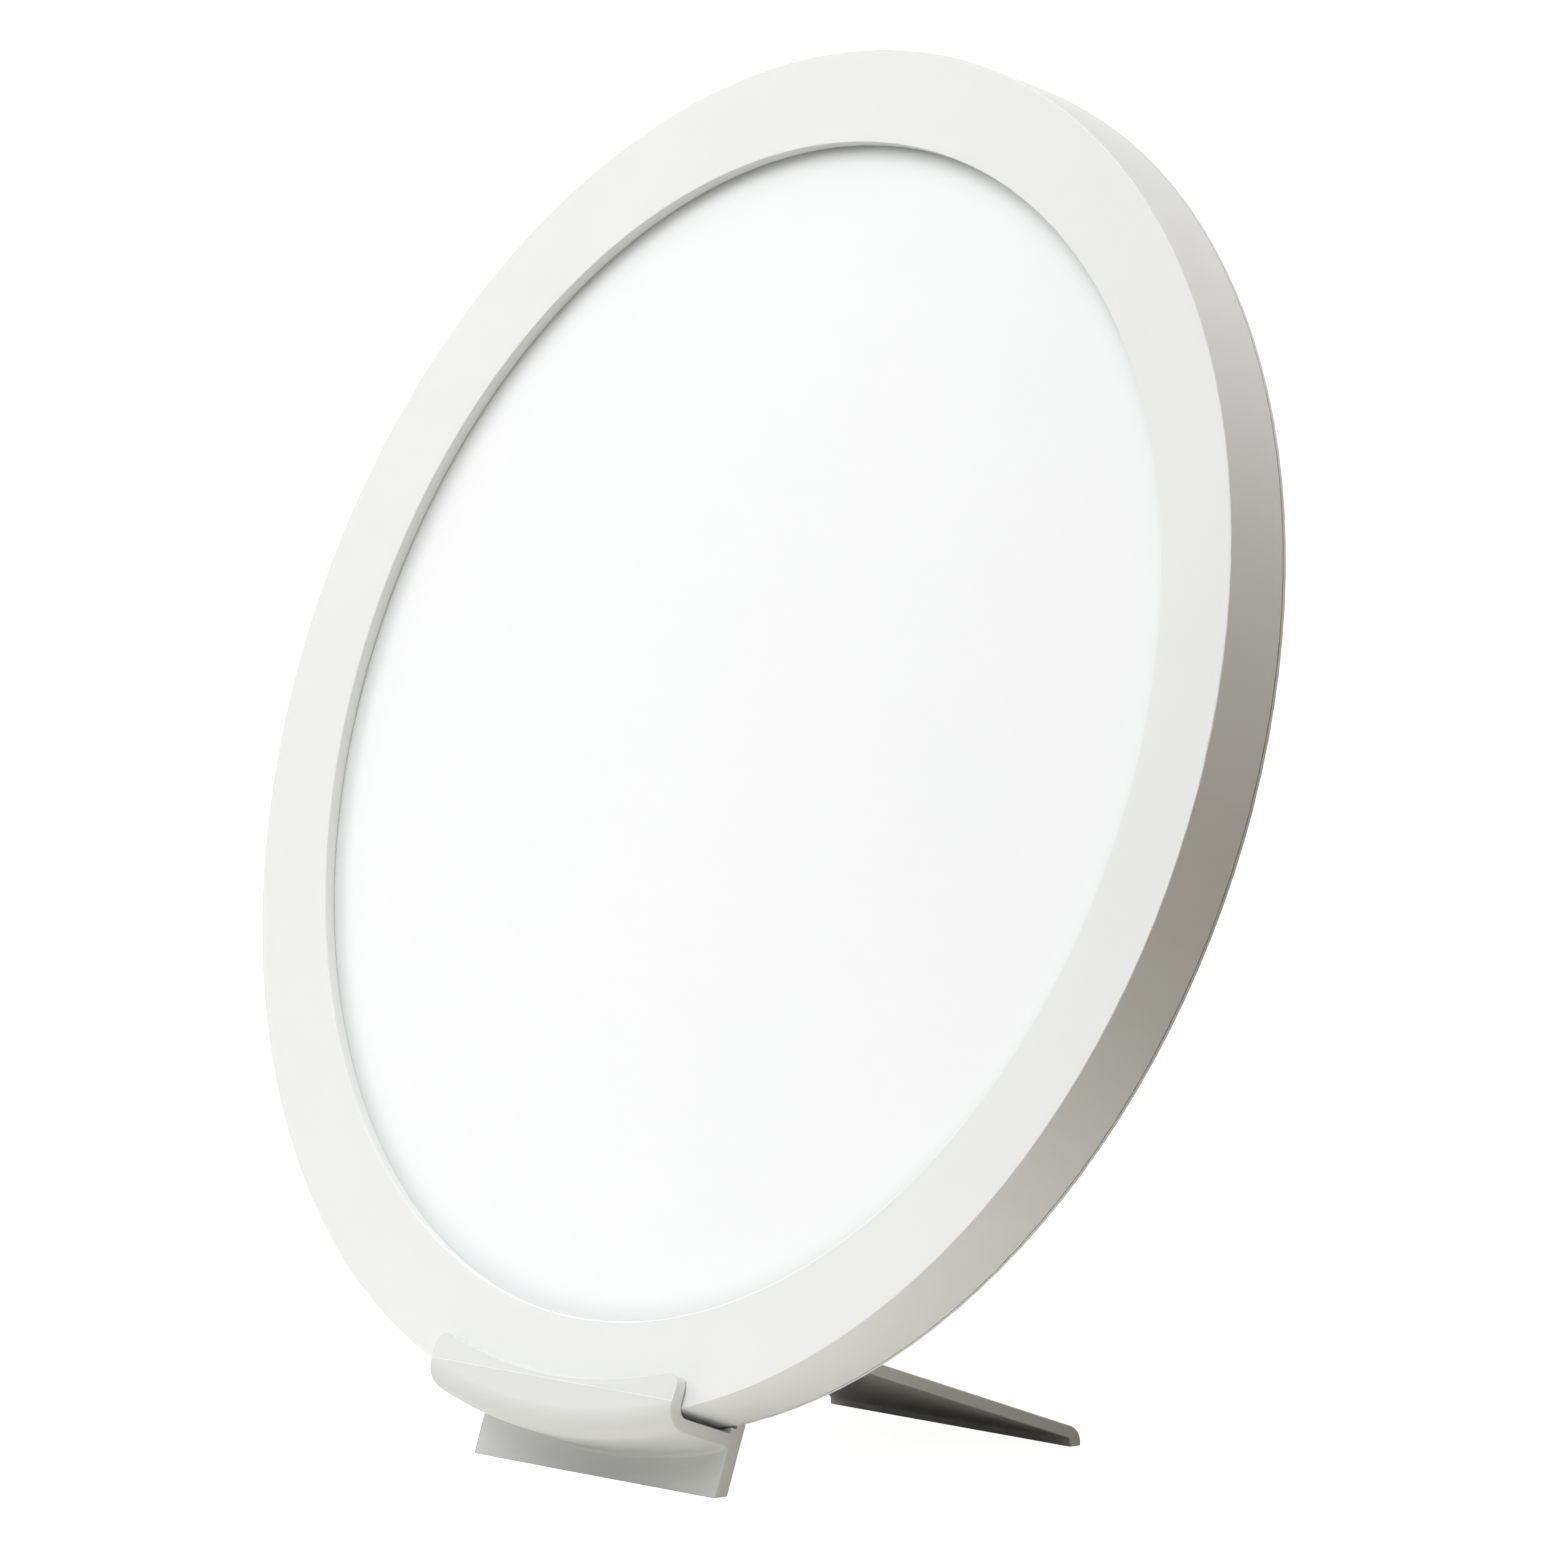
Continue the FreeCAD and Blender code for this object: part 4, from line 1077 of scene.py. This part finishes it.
def white_paper():
    """Uncoated paper on a dull table. It glows for the camera and for reflections only."""
    material, tree, shader, coords = start_material("white_paper")
    camera_ray, mirrored = seen_by(tree)
    distance = add(tree, "ShaderNodeVectorMath", {"operation": "LENGTH"}, {0: coords}).outputs["Value"]
    off_sheet = add(tree, "ShaderNodeVectorMath", {"operation": "DISTANCE"}, {0: coords, 1: paper_middle})
    back = add(tree, "ShaderNodeSeparateXYZ", inputs={"Vector": coords}).outputs["Y"]
    round_it = spread(tree, off_sheet.outputs["Value"], 0.0, 1.0, paper_radius, table_start)
    past_paper = sum_up(tree, "MAXIMUM", round_it, spread(tree, back, 0.0, 1.0, paper_back, table_back))
    paper = drift(tree, coords, 400, "f8f7f2", "f6f5f0")
    table = drift(tree, coords, 250, "44371f", "3d311b")
    fill(tree, shader, Base_Color=blend_colours(tree, past_paper, paper, table), Roughness=0.95)
    far = sum_up(tree, "MAXIMUM", past_paper, spread(tree, distance, 0.0, 1.0, glow_start, glow_end))
    for_camera = sum_up(tree, "MULTIPLY", camera_ray, spread(tree, far, shadow_glow, 1.0, 0.0, 1.0))
    in_mirrors = spread(tree, distance, mirrored_glow, 1.0, mirror_start, mirror_end)
    for_mirrors = sum_up(tree, "MULTIPLY", mirrored, in_mirrors)
    glow = add(tree, "ShaderNodeEmission", inputs={"Strength": sum_up(tree, "ADD", for_camera, for_mirrors)})
    both = add(tree, "ShaderNodeAddShader", inputs={0: shader.outputs["BSDF"], 1: glow.outputs["Emission"]})
    tree.links.new(both.outputs["Shader"], tree.nodes["Material Output"].inputs["Surface"])
    return material


floor_mesh = bpy.data.meshes.new("floor")
corners = [(-1, -1), (1, -1), (1, 1), (-1, 1)]
floor_mesh.from_pydata([(x * floor_half, y * floor_half, 0) for x, y in corners], [], [(0, 1, 2, 3)])
floor_mesh.materials.append(white_paper())
link("floor", floor_mesh)
print("paper, m across:", 2 * paper_radius)

# %% The room
room_light = 0.06            # what lights the object from all sides, beyond the lamps


def white_room():
    """A room that is white to the camera and in reflections, and lights the object faintly and warmly."""
    world = bpy.data.worlds.new("white_room")
    world.use_nodes = True
    tree = world.node_tree
    camera_ray, mirrored = seen_by(tree)
    seen = sum_up(tree, "MAXIMUM", camera_ray, mirrored)
    background = tree.nodes["Background"]
    tree.links.new(blend_colours(tree, seen, "e6d6a8", "ffffff"), background.inputs["Color"])
    tree.links.new(spread(tree, seen, room_light, 1.0, 0.0, 1.0), background.inputs["Strength"])
    return world


bpy.context.scene.world = white_room()
print("room light:", room_light)

# %% [markdown]
# ## Lamps in the studio
#
# A smooth white shape needs wide, soft light, because a small lamp would draw hard edges on it. The key is a
# large softbox in front and above. A second hangs overhead and lights the top of the rim and the lip. A
# small one at the left makes that side of the ring a little brighter than the right. A faint, warm one at
# the right leaves the rim in a soft grey, and a low one behind lights the back cover.

# %% Softboxes
def softbox(name, azimuth, elevation, distance, size, watts, colour="ffffff"):
    """A square lamp that faces the panel. Azimuth 0 is straight in front and grows to the lamp's right."""
    data = bpy.data.lights.new(name, "AREA")
    data.shape = "SQUARE"
    data.size = size
    data.energy = watts
    data.color = linear(colour)[:3]
    lamp = bpy.data.objects.new(name, data)
    lamp.matrix_world = seen_from(azimuth, elevation, distance, panel_middle)
    bpy.context.scene.collection.objects.link(lamp)
    return lamp


softboxes = [
    softbox("key", 0, 55, 2.9, 2.4, 50),
    softbox("overhead", -90, 89, 1.8, 2.2, 18.5),
    softbox("left", -75, 30, 1.4, 1.0, 8.5),
    softbox("right", 88, 22, 2.0, 1.4, 4.6, "fff0dc"),
    softbox("behind", 180, 12, 2.0, 1.4, 7.5),
]
print("lamps:", {lamp.name: lamp.data.energy for lamp in softboxes})
